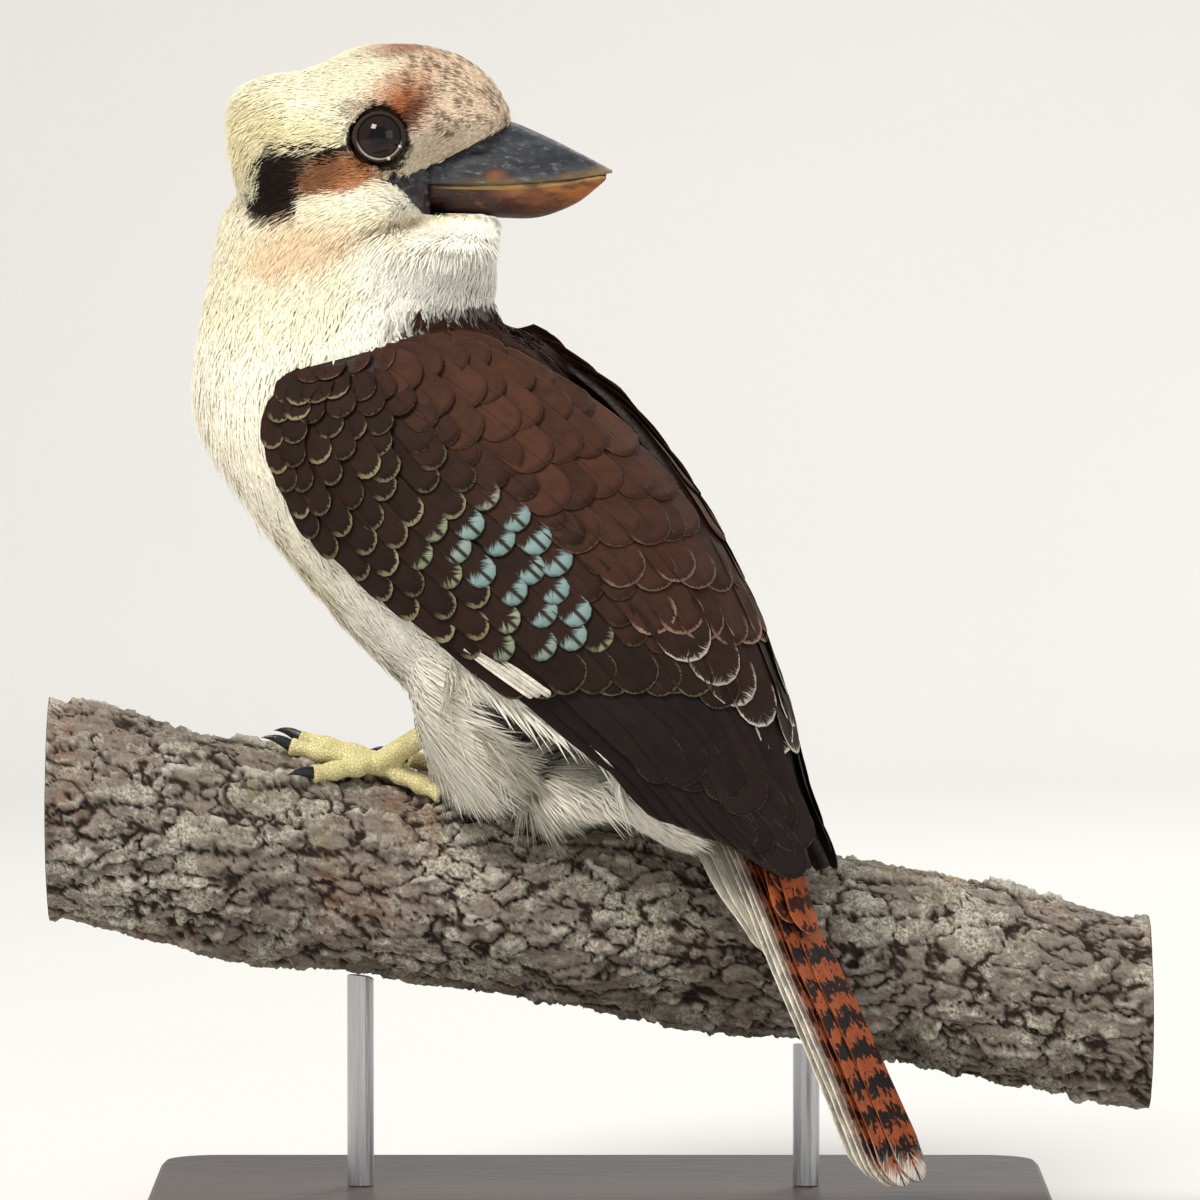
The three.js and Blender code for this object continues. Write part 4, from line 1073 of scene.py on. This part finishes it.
def vane_piece(name, batches):
    """Joins batches of vanes into one mesh; each side of each vane has its own cell of the map."""
    verts, sides, rims, uvs = [], [], [], []
    kinds = {"base": "FLOAT_COLOR", "tip": "FLOAT_COLOR", "shape": "FLOAT_VECTOR", "kind": "FLOAT_VECTOR"}
    numbers = {key: [] for key in kinds}
    total = sum(len(b["upper"]) for b in batches) * 2
    columns = math.ceil(math.sqrt(total * 2))
    rows_of_cells = math.ceil(total / columns)
    start = cell = 0
    for b in batches:
        f, r, c, _ = b["upper"].shape
        one = r * c
        faces, rim = vane_faces(b["upper"], b["lower"])
        offset = start + (np.arange(f) * 2 * one)[:, None, None]
        sides.append((faces[None] + offset).reshape(-1, 4))
        rims.append((rim[None] + offset).reshape(-1, 4))
        verts.append(np.stack([b["upper"].reshape(f, one, 3), b["lower"].reshape(f, one, 3)], 1).reshape(-1, 3))
        share = b["share"][..., None]
        edge, bars = (np.broadcast_to(b[key][:, None, None, None], share.shape) for key in ("edge", "bars"))
        for key, rows in (("shape", b["shape"]), ("kind", np.concatenate([edge, bars, share], -1))):
            numbers[key].append(np.repeat(rows.reshape(f, 1, one, -1), 2, 1).reshape(f * 2 * one, -1))
        for key in ("base", "tip"):
            numbers[key].append(np.repeat(b[key], 2 * one, 0))
        u, v = np.meshgrid(*(np.linspace(MAP_MARGIN, 1 - MAP_MARGIN, n) for n in (r, c)), indexing="ij")
        number = cell + np.arange(f * 2)
        x = (number % columns)[:, None] + v.ravel()[None]
        y = (number // columns)[:, None] + u.ravel()[None]
        uvs.append(np.stack([x / columns, y / rows_of_cells], -1).reshape(-1, 2))
        start += f * 2 * one
        cell += f * 2
    inner, rim = np.concatenate(sides), np.concatenate(rims)
    obj = mesh_object(name, np.concatenate(verts), np.concatenate([inner, rim]))
    for key, rows in numbers.items():
        put(obj, "vane_" + key, np.concatenate(rows), kinds[key])
    set_uv(obj, np.concatenate(uvs), np.concatenate([inner.ravel(), rim[:, [0, 1, 1, 0]].ravel()]))
    return obj


def row(name, count, first, last, length, fan, width, base, edge=0.0, rows=4, rounding=0.85, tip=OLIVE_BUFF,
        reach=-0.2):
    """A row of a wing's vanes: its first and last tip as station and share across, and lengths in stations."""
    return dict(name=name, count=count, first=first, last=last, length=length, fan=fan, width=width, base=base,
                edge=edge, rows=rows, rounding=rounding, tip=tip, reach=reach)


WING_ROWS = [
    row("primaries", 7, (1.1, 0.02), (0.42, 0.46), (2.1, 2.4), 0.02, 12, WING_BLACK, 0.12, 12, 1.6),
    row("secondaries", 8, (1.62, 0.2), (0.6, 0.74), (2.0, 2.3), -0.02, 15, WING_BLACK * 1.15, 0.12, 12),
    row("tertials", 5, (2.5, 0.64), (1.5, 0.93), (1.5, 1.9), -0.02, 17, WING_DARK * 1.15, 0.8, 12, 1.1,
        TAIL_WHITE, 0.015),
    row("greater", 10, (2.78, 0.06), (2.08, 0.66), (1.2, 1.4), -0.03, 13.5, WING_DARK * 0.8, 0.3, 8),
]
for number in range(13):
    back_end = 0.56 - 0.012 * max(0, number - 7)
    near_bend = smooth(8, 12, number)
    WING_ROWS.append(row(f"covert_{number}", 7 if number < 10 else 6,
                         (3.2 + 0.255 * number, 0.055 + 0.07 * near_bend), (2.62 + 0.268 * number, back_end),
                         (0.78, 0.82 - 0.3 * near_bend), -0.02, 9.4, WING_DARK))
for number in range(8):
    WING_ROWS.append(row(f"scapular_{number}", 5, (2.78 + 0.44 * number, 0.6), (2.5 + 0.48 * number, 0.95),
                         (1.25 - 0.06 * number, 1.3 - 0.06 * number), -0.01, 15.5 - 0.35 * number,
                         lerp(WING_DARK, MANTLE, 0.55 + 0.45 * smooth(0, 4, number)),
                         max(0.1, 0.8 - 0.28 * number), 6, tip=RUSTY_EDGE))
WING_ROWS += [
    row("white_patch", 3, (2.72, 0.03), (2.64, 0.085), (0.6, 0.46), 0, 2.5, TAIL_WHITE * 0.85, 0.1),
    row("shoulder", 6, (6.42, 0.22), (6.3, 0.9), (0.3, 0.32), 0, 10, lerp(WING_DARK, MANTLE, 0.5), 0.5,
        tip=RUSTY_EDGE),
]


def covert_tips(tip, blue, green):
    """How far the coverts' coloured tips reach, and how strong their pale edges are."""
    buff = smooth(0.52, 0.36, tip[:, 1]) * smooth(6.5, 6.2, tip[:, 0]) * rng.uniform(0.2, 1, len(tip))
    reach = np.where(blue > 0.3, 0.05 + 0.11 * blue * rng.uniform(0.7, 1.25, len(tip)), -0.2)
    reach = np.where((blue <= 0.3) & (green > 0.3), 0.03 + 0.1 * green, reach)
    return reach, np.where((blue > 0.3) | (green > 0.3), 0.3, 0.1 + 0.9 * buff)


def wing_batches(mirror):
    batches = []
    for r in WING_ROWS:
        count, name = r["count"], r["name"]
        small = name.startswith("covert")
        share = np.linspace(0, 1, count)
        uneven = rng.normal(0, 0.026, (count, 2)) * (1, 0.4)
        tip = np.stack([lerp(first, last, share) for first, last in zip(r["first"], r["last"])], 1) + uneven
        root = tip + np.stack([lerp(*r["length"], share), np.full(count, -r["fan"])], 1)
        root[:, 0] = np.minimum(root[:, 0], WING_BEND - 0.03)
        width = r["width"] * MM * rng.uniform(0.92, 1.08, count)
        flight = name in ("primaries", "secondaries")
        lifts = (np.full(count, -0.5 * MM),
                 np.full(count, 1.75 * MM) + 0.5 * MM * share * flight + rng.uniform(-0.3, 0.3, count) * MM)
        if name == "white_patch":
            lifts = (np.full(count, 1.7 * MM), np.full(count, 2.9 * MM))
        laid = lay_vanes(functools.partial(over_wing, mirror=mirror), root, tip, lifts, width, r["rows"],
                         6 if small else 8, -0.07, 0.05, mirror, r["rounding"])
        at = over_wing(tip[:, 0], tip[:, 1], 2 * MM, 1)
        tx, ty = profile(at[:, 0], at[:, 2])
        blue = spot(tx, ty, 534, 572, 84, 40, 0.12, 0.86, 3) * small
        green = np.maximum(spot(tx, ty, 562, 652, 62, 26, 0.3), 0.6 * spot(tx, ty, 452, 545, 34, 40, 0.4))
        green = green * (1 - blue) * small
        colour = blend(blend(painted(count, r["tip"]), green, SEA_GREEN), blue, PALE_BLUE)
        reach, edge = np.full(count, r["reach"]), np.full(count, r["edge"]) * rng.uniform(0.6, 1.1, count)
        if small:
            reach, edge = covert_tips(tip, blue, green)
        tone = rng.uniform(0.78, 1.2, (count, 1))
        brown = lerp(r["base"], MANTLE * 0.85, 0.6 * smooth(0.4, 0.56, tip[:, 1:2]) * small)
        batches.append(vane_batch(laid, brown, tone, colour, reach, edge, np.zeros(count)))
    return batches


def make_wing(side, mirror, vane_look, bed_look):
    def bed(t, turn):
        """The closed bed that the vanes grow from: outside up one half turn, inside down the other."""
        s = lerp(WING_BEND, WING_TIP + 0.05, t)
        outer = turn < math.pi
        across = np.where(outer, turn / math.pi, 2 - turn / math.pi)
        lift = np.where(outer, -0.1 * MM, -CORE_SUNK - core_lift(s, across))
        return over_wing(s, across, lift, mirror)

    finish_piece(rolled(f"wing_bed_{side}", 60, 40, bed), "wing_feathers", bed_look, f"wing_{side}")
    vanes = vane_piece(f"wing_vanes_{side}", wing_batches(mirror))
    finish_piece(vanes, "wing_feathers", vane_look, f"wing_{side}")


def over_tail(long, side, lift):
    """Points over the tail, a shallow roof along its middle line."""
    down = TAIL_TIP - TAIL_ROOT
    back = unit(np.array([-down[1], down[0]]))
    roof = TAIL_SLOPE * np.sqrt(side**2 + (1.5 * MM) ** 2)
    lie = 1.5 * MM * np.sin(math.pi * np.clip(long, 0, 1)) - roof + 0.7 * MM + lift
    x, z = (TAIL_ROOT[i] + down[i] * long + back[i] * lie for i in (0, 1))
    return on_body(x, z, side)


# coverts over and under the tail's root: share of its length, then millimetres off its middle, wide and high
FLAT = 1e6  # metres, the radius of a vane that doesn't bulge
TAIL_COVERTS = [
    (0.34, (0,), 16, (7, 1.6), TAIL_RUFOUS, 0.9), (0.3, (6, -6), 14, (6, 1.5), TAIL_RUFOUS, 0.9),
    (0.23, (4, -4), 14, (10, 3.2), TAIL_RUFOUS * 0.8, 0.9), (0.16, (0,), 15, (12, 5), UMBER, 0.6),
    (0.44, (0,), 16, (-12, -7), WHITE, 0), (0.4, (6, -6), 14, (-11, -7), WHITE, 0),
    (0.34, (5, -5), 15, (-15, -9.5), WHITE, 0),
]


def make_tail(vane_look):
    batches = []

    def add(root, tip, lifts, width, base, tone, reach, edge, bars, rows):
        lifts = [np.full(1, lift, float) for lift in lifts]
        laid = lay_vanes(over_tail, np.array([root]), np.array([tip]), lifts, np.full(1, width), rows, 8, 0.0,
                         FLAT, 1, 0.9)
        batches.append(vane_batch(laid, base, [tone], TAIL_WHITE, [reach], np.array([edge], float),
                                  np.array([bars], float)))

    for pair in range(6):
        for hand in (-1, 1):
            root, tip = hand * (2.6 + 0.5 * pair) * MM, hand * (5.2 + 0.9 * pair) * MM
            under = -(pair + (0.45 if hand > 0 else 0)) * 1.0 * MM
            end = 1 - 0.07 * (pair / 5) ** 2 - rng.uniform(0, 0.012)
            pale = smooth(1.4, 3.2, pair)
            add((0.0, root), (end, tip), (under, under), 18.5 * MM, lerp(TAIL_RUFOUS, TAIL_WHITE, pale),
                rng.uniform(0.9, 1.06), 0.05, 0.35 + 0.5 * pale, lerp(1.0, 0.35, pale), 16)
    for end, offs, width, lifts, tint, bars in TAIL_COVERTS:
        for off in offs:
            add((0.02, off * 0.7 * MM), (end, off * MM), (lifts[0] * MM, lifts[1] * MM), width * MM, tint,
                rng.uniform(0.92, 1.04), -0.2, 0.15, bars, 8)
    finish_piece(vane_piece("tail_vanes", batches), "tail_feathers", vane_look, "tail")


# the bill's two halves, back to front: px, upper py, lower py and half width in millimetres
UPPER_BILL = np.array([
    (394, 150, 183, 11.5), (425, 140, 183.5, 14), (470, 126, 185, 14.5), (505, 121, 185, 12), (540, 134, 183, 9),
    (575, 151, 179.5, 5.6), (600, 164, 175, 2.6), (612, 170.5, 173.5, 0.8)])
LOWER_BILL = np.array([
    (394, 183, 206, 10.5), (425, 183, 212, 12.9), (470, 184, 215.5, 12.7), (505, 184, 218.5, 11),
    (540, 182, 217.5, 8.2), (575, 178.5, 204.5, 5), (597, 174.5, 188, 2.3), (606, 173, 180, 0.8)])
NOSTRIL = (486, 151)


def make_bill(name, node, slices, flat_side, look, tint_of):
    """Half a bill: turn / 2 runs from one cutting edge over the ridge to the other."""
    def place(t, turn):
        px, top, low, half = np.moveaxis(curve(slices, np.clip(t, 0, 1) * (len(slices) - 1)), -1, 0)
        middle, high = (top + low) / 2, (low - top) / 2
        arch = np.sin(turn / 2)
        ridge = arch if flat_side > 0 else arch**0.85
        side = half * MM * np.cos(turn / 2) * np.sqrt(np.clip(1 - 0.12 * arch**4, 0, 1))
        py = middle + flat_side * high * (1 - 2 * ridge)
        if flat_side > 0:
            dent = np.exp(-((px - NOSTRIL[0]) / 11) ** 2 - ((py - NOSTRIL[1]) / 3.2) ** 2)
            side = side - np.sign(side) * dent * 1.6 * MM
        return on_head(px, py, side)

    obj = rolled(name, 90, 64, place)
    put(obj, "tint", tint_of(*head_place(points_of(obj.data.vertices))))
    finish_piece(obj, node, look, node)


def upper_tint(px, py, side):
    """Slate, paler at the tip and above the cutting edge, with a rusty fleck and the nostril's slit painted
    near-black as the shade inside its opening.
    """
    c = painted(len(px), shade(36, 39, 45))
    c = blend(c, smooth(590, 608, px) * 0.7, shade(150, 138, 110))
    c = blend(c, spot(px, py, 500, 175, 9, 4.5, 0.8) * (side > 0) * 0.7, shade(146, 84, 36))
    rim = smooth(175, 182, py + smooth(540, 600, px) * 10) * smooth(440, 520, px)
    c = blend(c, rim * 0.6, shade(150, 112, 66))
    # the nostril's slit: painted shade inside the opening, over a shallow dent
    slit = np.exp(-((px - 486) / 9) ** 2 - ((py - 151.5 + 0.12 * (px - 486)) / 1.7) ** 2)
    return blend(c, slit, shade(8, 8, 9))


def lower_tint(px, py, side):
    """Brown at the base, horn further out, with a pale line under a thin dark line of painted shade where it
    meets the upper bill.
    """
    under = py - np.interp(px, [394, 470, 505, 540, 575, 600], [184, 185.5, 185.5, 183.5, 180, 175.5])
    c = painted(len(px), shade(92, 54, 38))
    for share, colour in (
            (smooth(545, 470, px) * 0.9, shade(50, 34, 36)), (smooth(510, 585, px), shade(158, 92, 38)),
            (smooth(15, 8, under) * smooth(480, 530, px) * 0.7, shade(160, 98, 44)),
            (smooth(20, 31, under) * 0.6, shade(60, 36, 32)),
            (smooth(4.6, 2.6, under) * smooth(425, 470, px) * 0.85, shade(206, 172, 98)),
            # a thin near-black line of painted shade along the top edge, in the seam under the upper bill
            (smooth(1.5, 0.7, under), shade(24, 20, 20))):
        c = blend(c, share, colour)
    return c


GAPE_FROM, GAPE_TO = 384.0, 435.0
FAR, HALF_FACE = 60, 14.6  # millimetres off the head's middle


def make_gape(name, hand, skin, look):
    """Bare dark skin at the corner of the mouth, from the bill's base back to a point under the eye, with painted
    shade along the mouth's line.
    """
    mesh = skin.data
    surface = BVHTree.FromPolygons([v.co[:] for v in mesh.vertices], [f.vertices[:] for f in mesh.polygons])

    def place(t, turn):
        px = lerp(GAPE_FROM, GAPE_TO, t)
        py = lerp(gape_edge(px, 0), gape_edge(px, 1), 0.5 - 0.5 * np.cos(turn))
        out = []
        for a, b, up, share in zip(on_head(px, py, FAR * MM * hand), on_head(px, py, 0 * MM), np.sin(turn), t):
            at, normal = surface.ray_cast(Vector(a), Vector(b - a).normalized())[:2]
            if at is None:  # in front of the skin the patch runs on over the bill's base
                at, normal = Vector(a + (b - a) * (1 - HALF_FACE / FAR)), Vector(a - b).normalized()
            high = 1.1 * min(1, 0.35 + 4 * share) - 2.6 * max(0, share - 0.86) / 0.14
            out.append(at + normal * MM * (high * up if up > 0 else up - 0.2))
        return np.array([q[:] for q in out])

    obj = rolled(name, 48, 28, place)
    px, py, _ = head_place(points_of(obj.data.vertices))
    below = py - np.interp(px, [384, 412, 440], [180, 181, 183])
    c = blend(painted(len(px), SLATE), smooth(1, 4, below), MOUTH)
    # a near-black line along the mouth's line: painted shade in the slit where upper and lower skin meet
    put(obj, "tint", blend(c, np.exp(-((below / 1.4) ** 2)), shade(10, 8, 8)))
    finish_piece(obj, "bill_lower", look)


EYE_SUNK, EYE_RADIUS, IRIS_RADIUS, CORNEA = 1.2 * MM, 8.9 * MM, 5.9 * MM, 0.5 * MM
LID_ACROSS, LID_OUT = 6.95, 5.85  # millimetres from the eye's axis and from its middle


def make_eye(name, centre, way, look):
    """An eyeball whose clear front bulges a little; the ring number is 0 at the pupil's middle."""
    bm = bmesh.new()
    bmesh.ops.create_uvsphere(bm, u_segments=64, v_segments=48, radius=EYE_RADIUS)
    turn = Vector((0, 0, 1)).rotation_difference(Vector(way)).to_matrix()
    rings = []
    for v in bm.verts:
        off = math.hypot(v.co.x, v.co.y) / IRIS_RADIUS if v.co.z > 0 else 2.0
        rings.append(off)
        if off < 1.1:
            v.co.z += CORNEA * max(0.0, 1 - off * off)
        v.co = turn @ v.co + Vector(centre)
    obj = from_bmesh(name, bm)
    put(obj, "ring", np.array(rings), "FLOAT")
    finish_piece(obj, "eye", look, name)


def make_lids(name, centre, axis, look):
    """The bare rim of skin round the eye: a roll with fine folds, drawn out a little at front and back."""
    up = unit(np.array([0, 0, 1.0]) - axis * axis[2])
    ahead = np.cross(up, axis)

    def place(t, turn):
        angle = t * math.tau
        folds = 0.07 * np.sin(angle * 34) + 0.05 * np.sin(angle * 53 + 1)
        roll = np.cos(turn)
        corner = 0.55 * np.abs(np.cos(angle)) ** 6 * np.maximum(roll, 0)
        across = LID_ACROSS + 0.62 * roll + corner + folds * (roll > -0.3)
        out = LID_OUT + 0.6 * np.sin(turn) - 0.7 * np.maximum(roll, 0) + 0.2 * np.maximum(-np.sin(angle), 0)
        flat = (ahead[None] * np.cos(angle)[:, None] + up[None] * np.sin(angle)[:, None]) * across[:, None]
        return centre + (flat + axis[None] * out[:, None]) * MM

    obj = rolled(name, 220, 20, place)
    rel = points_of(obj.data.vertices) - centre
    across = np.hypot(rel @ up, rel @ ahead)
    low = smooth(-0.1, -0.6, (rel @ up) / (6.5 * MM)) * smooth(7.2 * MM, 6.7 * MM, across)
    c = blend(painted(len(rel), shade(50, 39, 34)), smooth(7.0 * MM, 6.5 * MM, across) * 0.6, shade(26, 20, 19))
    put(obj, "tint", blend(c, low * 0.75, shade(176, 164, 150)))
    finish_piece(obj, "plumage", look)


# each foot: where it grips the branch, and the px, py and millimetres to the left where its shank begins
FEET = {
    "left": {"x": -66 * MM, "turn": math.radians(17), "shank": (468, 722, 21), "mirror": 1},
    "right": {"x": -34 * MM, "turn": math.radians(-20), "shank": (450, 735, -20), "mirror": -1},
}
# each toe: millimetres along the branch, turn round it and the length of its claw
TOES = [("inner", -20, 0.34, 8), ("middle", -27, 0.02, 8.5), ("outer", -24, -0.24, 8.5), ("hind", 19, 0.3, 9)]
TOE_RADIUS = 3.2 * MM
TOE_VOXEL = 0.42 * MM


def toe_point(foot, along, spread, t):
    t = np.asarray(t, float)
    hump = 0.5 * MM * np.exp(-((t - 0.25) / 0.12) ** 2)
    return perch_point(foot["x"] + along * MM * t, foot["turn"] + foot["mirror"] * spread * t,
                       TOE_RADIUS * lerp(0.95, 0.62, t) + hump)


def limb(bm, path, radius_of, sides, rings):
    """Adds a closed limb to the bmesh, following path(t) with its own radius at every share and turn."""
    t = np.linspace(0, 1, rings)
    centre = path(t)
    ahead = unit(np.gradient(centre, axis=0))
    across = unit(np.cross(ahead, np.array([0, 0, 1.0])))
    up = np.cross(across, ahead)
    previous = None
    for i in range(rings):
        made = bmesh.ops.create_circle(bm, cap_ends=False, segments=sides, radius=1.0)["verts"]
        for k, v in enumerate(made):
            turn = math.tau * k / sides
            r = radius_of(t[i], turn)
            v.co = Vector(centre[i] + across[i] * r * math.cos(turn) + up[i] * r * math.sin(turn))
        if previous:
            for k in range(sides):
                bm.faces.new((previous[k], previous[(k + 1) % sides], made[(k + 1) % sides], made[k]))
        else:
            bm.faces.new(made[::-1])
        previous = made
    bm.faces.new(previous)


def scute(t, turn, count):
    """Height of the horny plates across the top of a toe or shank."""
    return 0.16 * MM * max(0.0, math.sin(turn)) * abs(math.sin(math.pi * count * t))


def shank_radius(t, turn):
    return lerp(3.1, 3.7, t) * MM + scute(t, turn, 7)


def toe_radius(t, turn):
    """A toe with three joints that swell it, and pads under them."""
    joints = math.cos(math.tau * 3 * t)
    return (lerp(3.35, 2.5, t) * MM * (0.6 if t in (0.0, 1.0) else 1) + 0.22 * MM * joints + scute(t, turn, 11)
            + 0.2 * MM * max(0.0, -math.sin(turn)) * joints)


def claw_radius(t, turn):
    return MM * max(0.12, 1.75 * (1 - t**1.6)) * (1.12 if abs(math.sin(turn)) > 0.7 else 0.92)


def claw_path(foot, along, spread, size):
    """A curved claw that sets out from the toe's end and turns down to the bark."""
    end, before = toe_point(foot, along, spread, 1.0), toe_point(foot, along, spread, 0.75)
    ahead = unit(end - before)
    turn = foot["turn"] + foot["mirror"] * spread
    out = unit(perch_point(end[0], turn, 5 * MM) - perch_point(end[0], turn, 0.0))

    def path(t):
        arch = 2.0 * np.sin(math.pi * 0.75 * t) - 0.5 * t
        return end + ahead * ((-1.6 + (size + 1.6) * t)[:, None] * MM) + out * (arch[:, None] * MM)

    return path


def make_foot(side, foot, look, claw_look):
    bm = bmesh.new()
    px, py, off = foot["shank"]
    top = on_body(np.array(metres_x(px)), np.array(metres_z(py)), np.array(off * MM))
    sole = toe_point(foot, 0.0, 0.0, 0.0)
    limb(bm, lambda t: top[None] * (1 - t)[:, None] + sole[None] * t[:, None], shank_radius, 24, 40)
    for _, along, spread, _ in TOES:
        limb(bm, functools.partial(toe_point, foot, along, spread), toe_radius, 20, 44)
    bm = fused(bm, f"foot_{side}", TOE_VOXEL)
    soften(bm, 2, 0.4)
    finish_piece(from_bmesh(f"toes_{side}", bm), "foot", look, f"foot_{side}")
    for name, along, spread, size in TOES:
        bm = bmesh.new()
        limb(bm, claw_path(foot, along, spread, size), claw_radius, 20, 22)
        finish_piece(from_bmesh(f"talon_{side}_{name}", bm), "claw", claw_look, f"claw_{side}_{name}")


# the bark's plates, in millimetres across, each with how far the cracks between them are bent
PLATES = ((7.5, 1.0), (3.6, 1.6), (2.1, 2.5))
CRACK = 0.16  # share of a plate
BARK_LEVEL = 2.7  # millimetres from the bark's lowest to its middle level


def bark_plate(q):
    """Distance from the crack, full at 1, and the plate's own level."""
    near, sites = noise.voronoi(q)
    return min((near[1] - near[0]) / CRACK, 1.0), noise.cell(sites[0] * 7.3)


def make_branch(look):
    """Bark in plates at different levels with deep cracks between them, drawn out along the branch."""
    numbers = []

    def place(t, turn):
        x = lerp(PERCH["left"], PERCH["right"], t)
        shares = np.minimum(smooth(0, 0.012, t), smooth(1, 0.988, t))
        lifts = []
        for p, share in zip(perch_point(x, turn, 0.0), shares):
            p = Vector(p)
            warp = noise.noise_vector(p * 60) * 0.45 + noise.noise_vector(p * 300) * 0.22
            stretched = Vector((p.x * 0.42, p.y, p.z)) * 1000
            (big, high), (small, low), (flake, chip) = [bark_plate(stretched / size + warp * bent)
                                                        for size, bent in PLATES]
            rough = noise.fractal(p * 900, 0.8, 2.1, 4)
            broad = noise.noise(p * 28)
            height = big * (1.1 + 1.3 * high) + big * small * (0.5 + 1.1 * low) + small * flake * 0.5 * chip
            lifts.append((height + rough * 0.5 + broad * 0.8 - BARK_LEVEL) * (0.3 + 0.7 * share))
            # the first number drives the painted shade in the cracks, the second the painted light on higher
            # plates and painted shade on lower ones
            numbers.append((min(big, 0.4 + 0.6 * small, 0.65 + 0.35 * flake) + rough * 0.2,
                            0.3 * high + 0.4 * low + 0.3 * chip, 0))
        return perch_point(x, turn, np.array(lifts) * MM)

    branch = rolled("branch", 400, 220, place, merge=1e-5, carried=("bark", numbers))
    finish_piece(branch, "bark", look, "perch")


def build_bird():
    skin = make_skin()
    co = points_of(skin.data.vertices)
    put(skin, "plumage", markings_and_shadow(co, *body_place(co), roughness_of(co)) * 0.92)
    finish_piece(skin, "plumage", plumage_material("skin_downy", 0.0004), *FLESH)
    make_plumage(skin, plumage_material("plumage_soft", 0.0001))
    vane_look = vane_material("vane_barbed")
    bed_look = scale_material("bed_brown", WING_DARK, SOOT, 300.0, 0.0002, (0.6, 0.8))
    make_wing("left", 1, vane_look, bed_look)
    make_wing("right", -1, vane_look, bed_look)
    make_tail(vane_look)
    slate = bill_material("bill_slate", shade(122, 126, 130), shade(66, 66, 66))
    horn = bill_material("bill_horn", shade(140, 98, 66), shade(58, 36, 30))
    make_bill("upper_bill", "bill_upper", UPPER_BILL, 1, slate, upper_tint)
    make_bill("lower_bill", "bill_lower", LOWER_BILL, -1, horn, lower_tint)
    wet, lids = eye_material(), lid_material()
    for side, hand in (("left", 1), ("right", -1)):
        make_gape(f"gape_{side}", hand, skin, slate)
    for side, hand, centre in zip(("left", "right"), (-1, 1), EYES):
        way = unit(np.array([0.10 - math.sin(HEAD_YAW) * hand, -hand * math.cos(HEAD_YAW), 0.02]))
        make_eye(f"eye_{side}", centre - way * EYE_SUNK, way, wet)
        make_lids(f"lids_{side}", centre - way * EYE_SUNK, way, lids)
    scaly = scale_material("foot_scaly", shade(226, 216, 160), shade(176, 160, 108), 900.0, 0.00014)
    black_horn = scale_material("claw_horn", shade(34, 34, 38), shade(16, 16, 18), 500.0, 0.00005, (0.25, 0.4))
    for side, foot in FEET.items():
        make_foot(side, foot, scaly, black_horn)


def build_stand():
    make_branch(bark_material())
    rod = rod_material()
    for name, look in (("stand_base", base_material()), ("stand_rod_left", rod), ("stand_rod_right", rod)):
        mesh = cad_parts[name].data
        mesh.materials.clear()
        mesh.materials.append(look)


# the floor's strip: flat, then a low sweep up, in shares of its length
FLAT_END, SWEEP_END = 0.45, 0.65
SWEEP_RADIUS, FLOOR_FRONT, FLOOR_LENGTH, FLOOR_HALF = 0.43, -3.5, 12, 6
# each lamp: where it stands, its size in metres, power and colour
LAMPS = (("key", (-1.1, -1.5, 2.3), 0.9, 74, (1.0, 0.96, 0.9)),
         ("fill", (2.2, -2.0, 0.9), 1.8, 18, (0.94, 0.97, 1.0)),
         ("rim", (0.9, 1.6, 1.7), 1.0, 30, (1.0, 0.97, 0.92)))
LAMP_AIM = Vector((-0.02, 0, 0.2))
CAMERA_AIM, CAMERA_AWAY, CAMERA_TILT = Vector((0, 0, 0.1905)), 3.0, math.radians(3)
SENSOR, LENS = 36, 300


def make_floor():
    bm = bmesh.new()
    bmesh.ops.create_grid(bm, x_segments=2, y_segments=60, size=1)
    for v in bm.verts:
        t = (v.co.y + 1) / 2
        bend = min(max((t - FLAT_END) / (SWEEP_END - FLAT_END), 0), 1) * math.pi / 2
        v.co = (v.co.x * FLOOR_HALF,
                FLOOR_FRONT + FLOOR_LENGTH * min(t, FLAT_END) + SWEEP_RADIUS * math.sin(bend),
                SWEEP_RADIUS * (1 - math.cos(bend)) + 0.06 * max(t - SWEEP_END, 0))
    floor = from_bmesh("studio_floor", bm)
    mat, g, shader = material("paper_pale", Roughness=0.9, Specular_IOR_Level=0.1)
    dress(g, shader, g.mix(g.noise(g.where(), 2.0), (0.66, 0.65, 0.63), (0.72, 0.71, 0.69)))
    floor.data.materials.append(mat)


def aimed(name, data, at, way):
    """An object with this data at a place, looking the given way."""
    obj = into_scene(name, data)
    obj.location = at
    obj.rotation_euler = way.to_track_quat("-Z", "Y").to_euler()
    return obj


def build_studio():
    scene = bpy.context.scene
    scene.view_settings.view_transform = "Standard"
    make_floor()
    scene.world = bpy.data.worlds.new("studio")
    scene.world.use_nodes = True
    colour, strength = scene.world.node_tree.nodes["Background"].inputs[:2]
    colour.default_value, strength.default_value = (0.95, 0.97, 1.0, 1), 0.55
    for name, at, size, power, tint in LAMPS:
        data = bpy.data.lights.new(name, "AREA")
        data.size, data.energy, data.color = size, power, tint
        aimed(name, data, at, LAMP_AIM - Vector(at))
    way = Vector((0, math.cos(CAMERA_TILT), -math.sin(CAMERA_TILT)))
    data = bpy.data.cameras.new("camera")
    data.sensor_width, data.lens = SENSOR, LENS
    scene.camera = aimed("camera", data, CAMERA_AIM - way * CAMERA_AWAY, way)


build_bird()
build_stand()
build_studio()
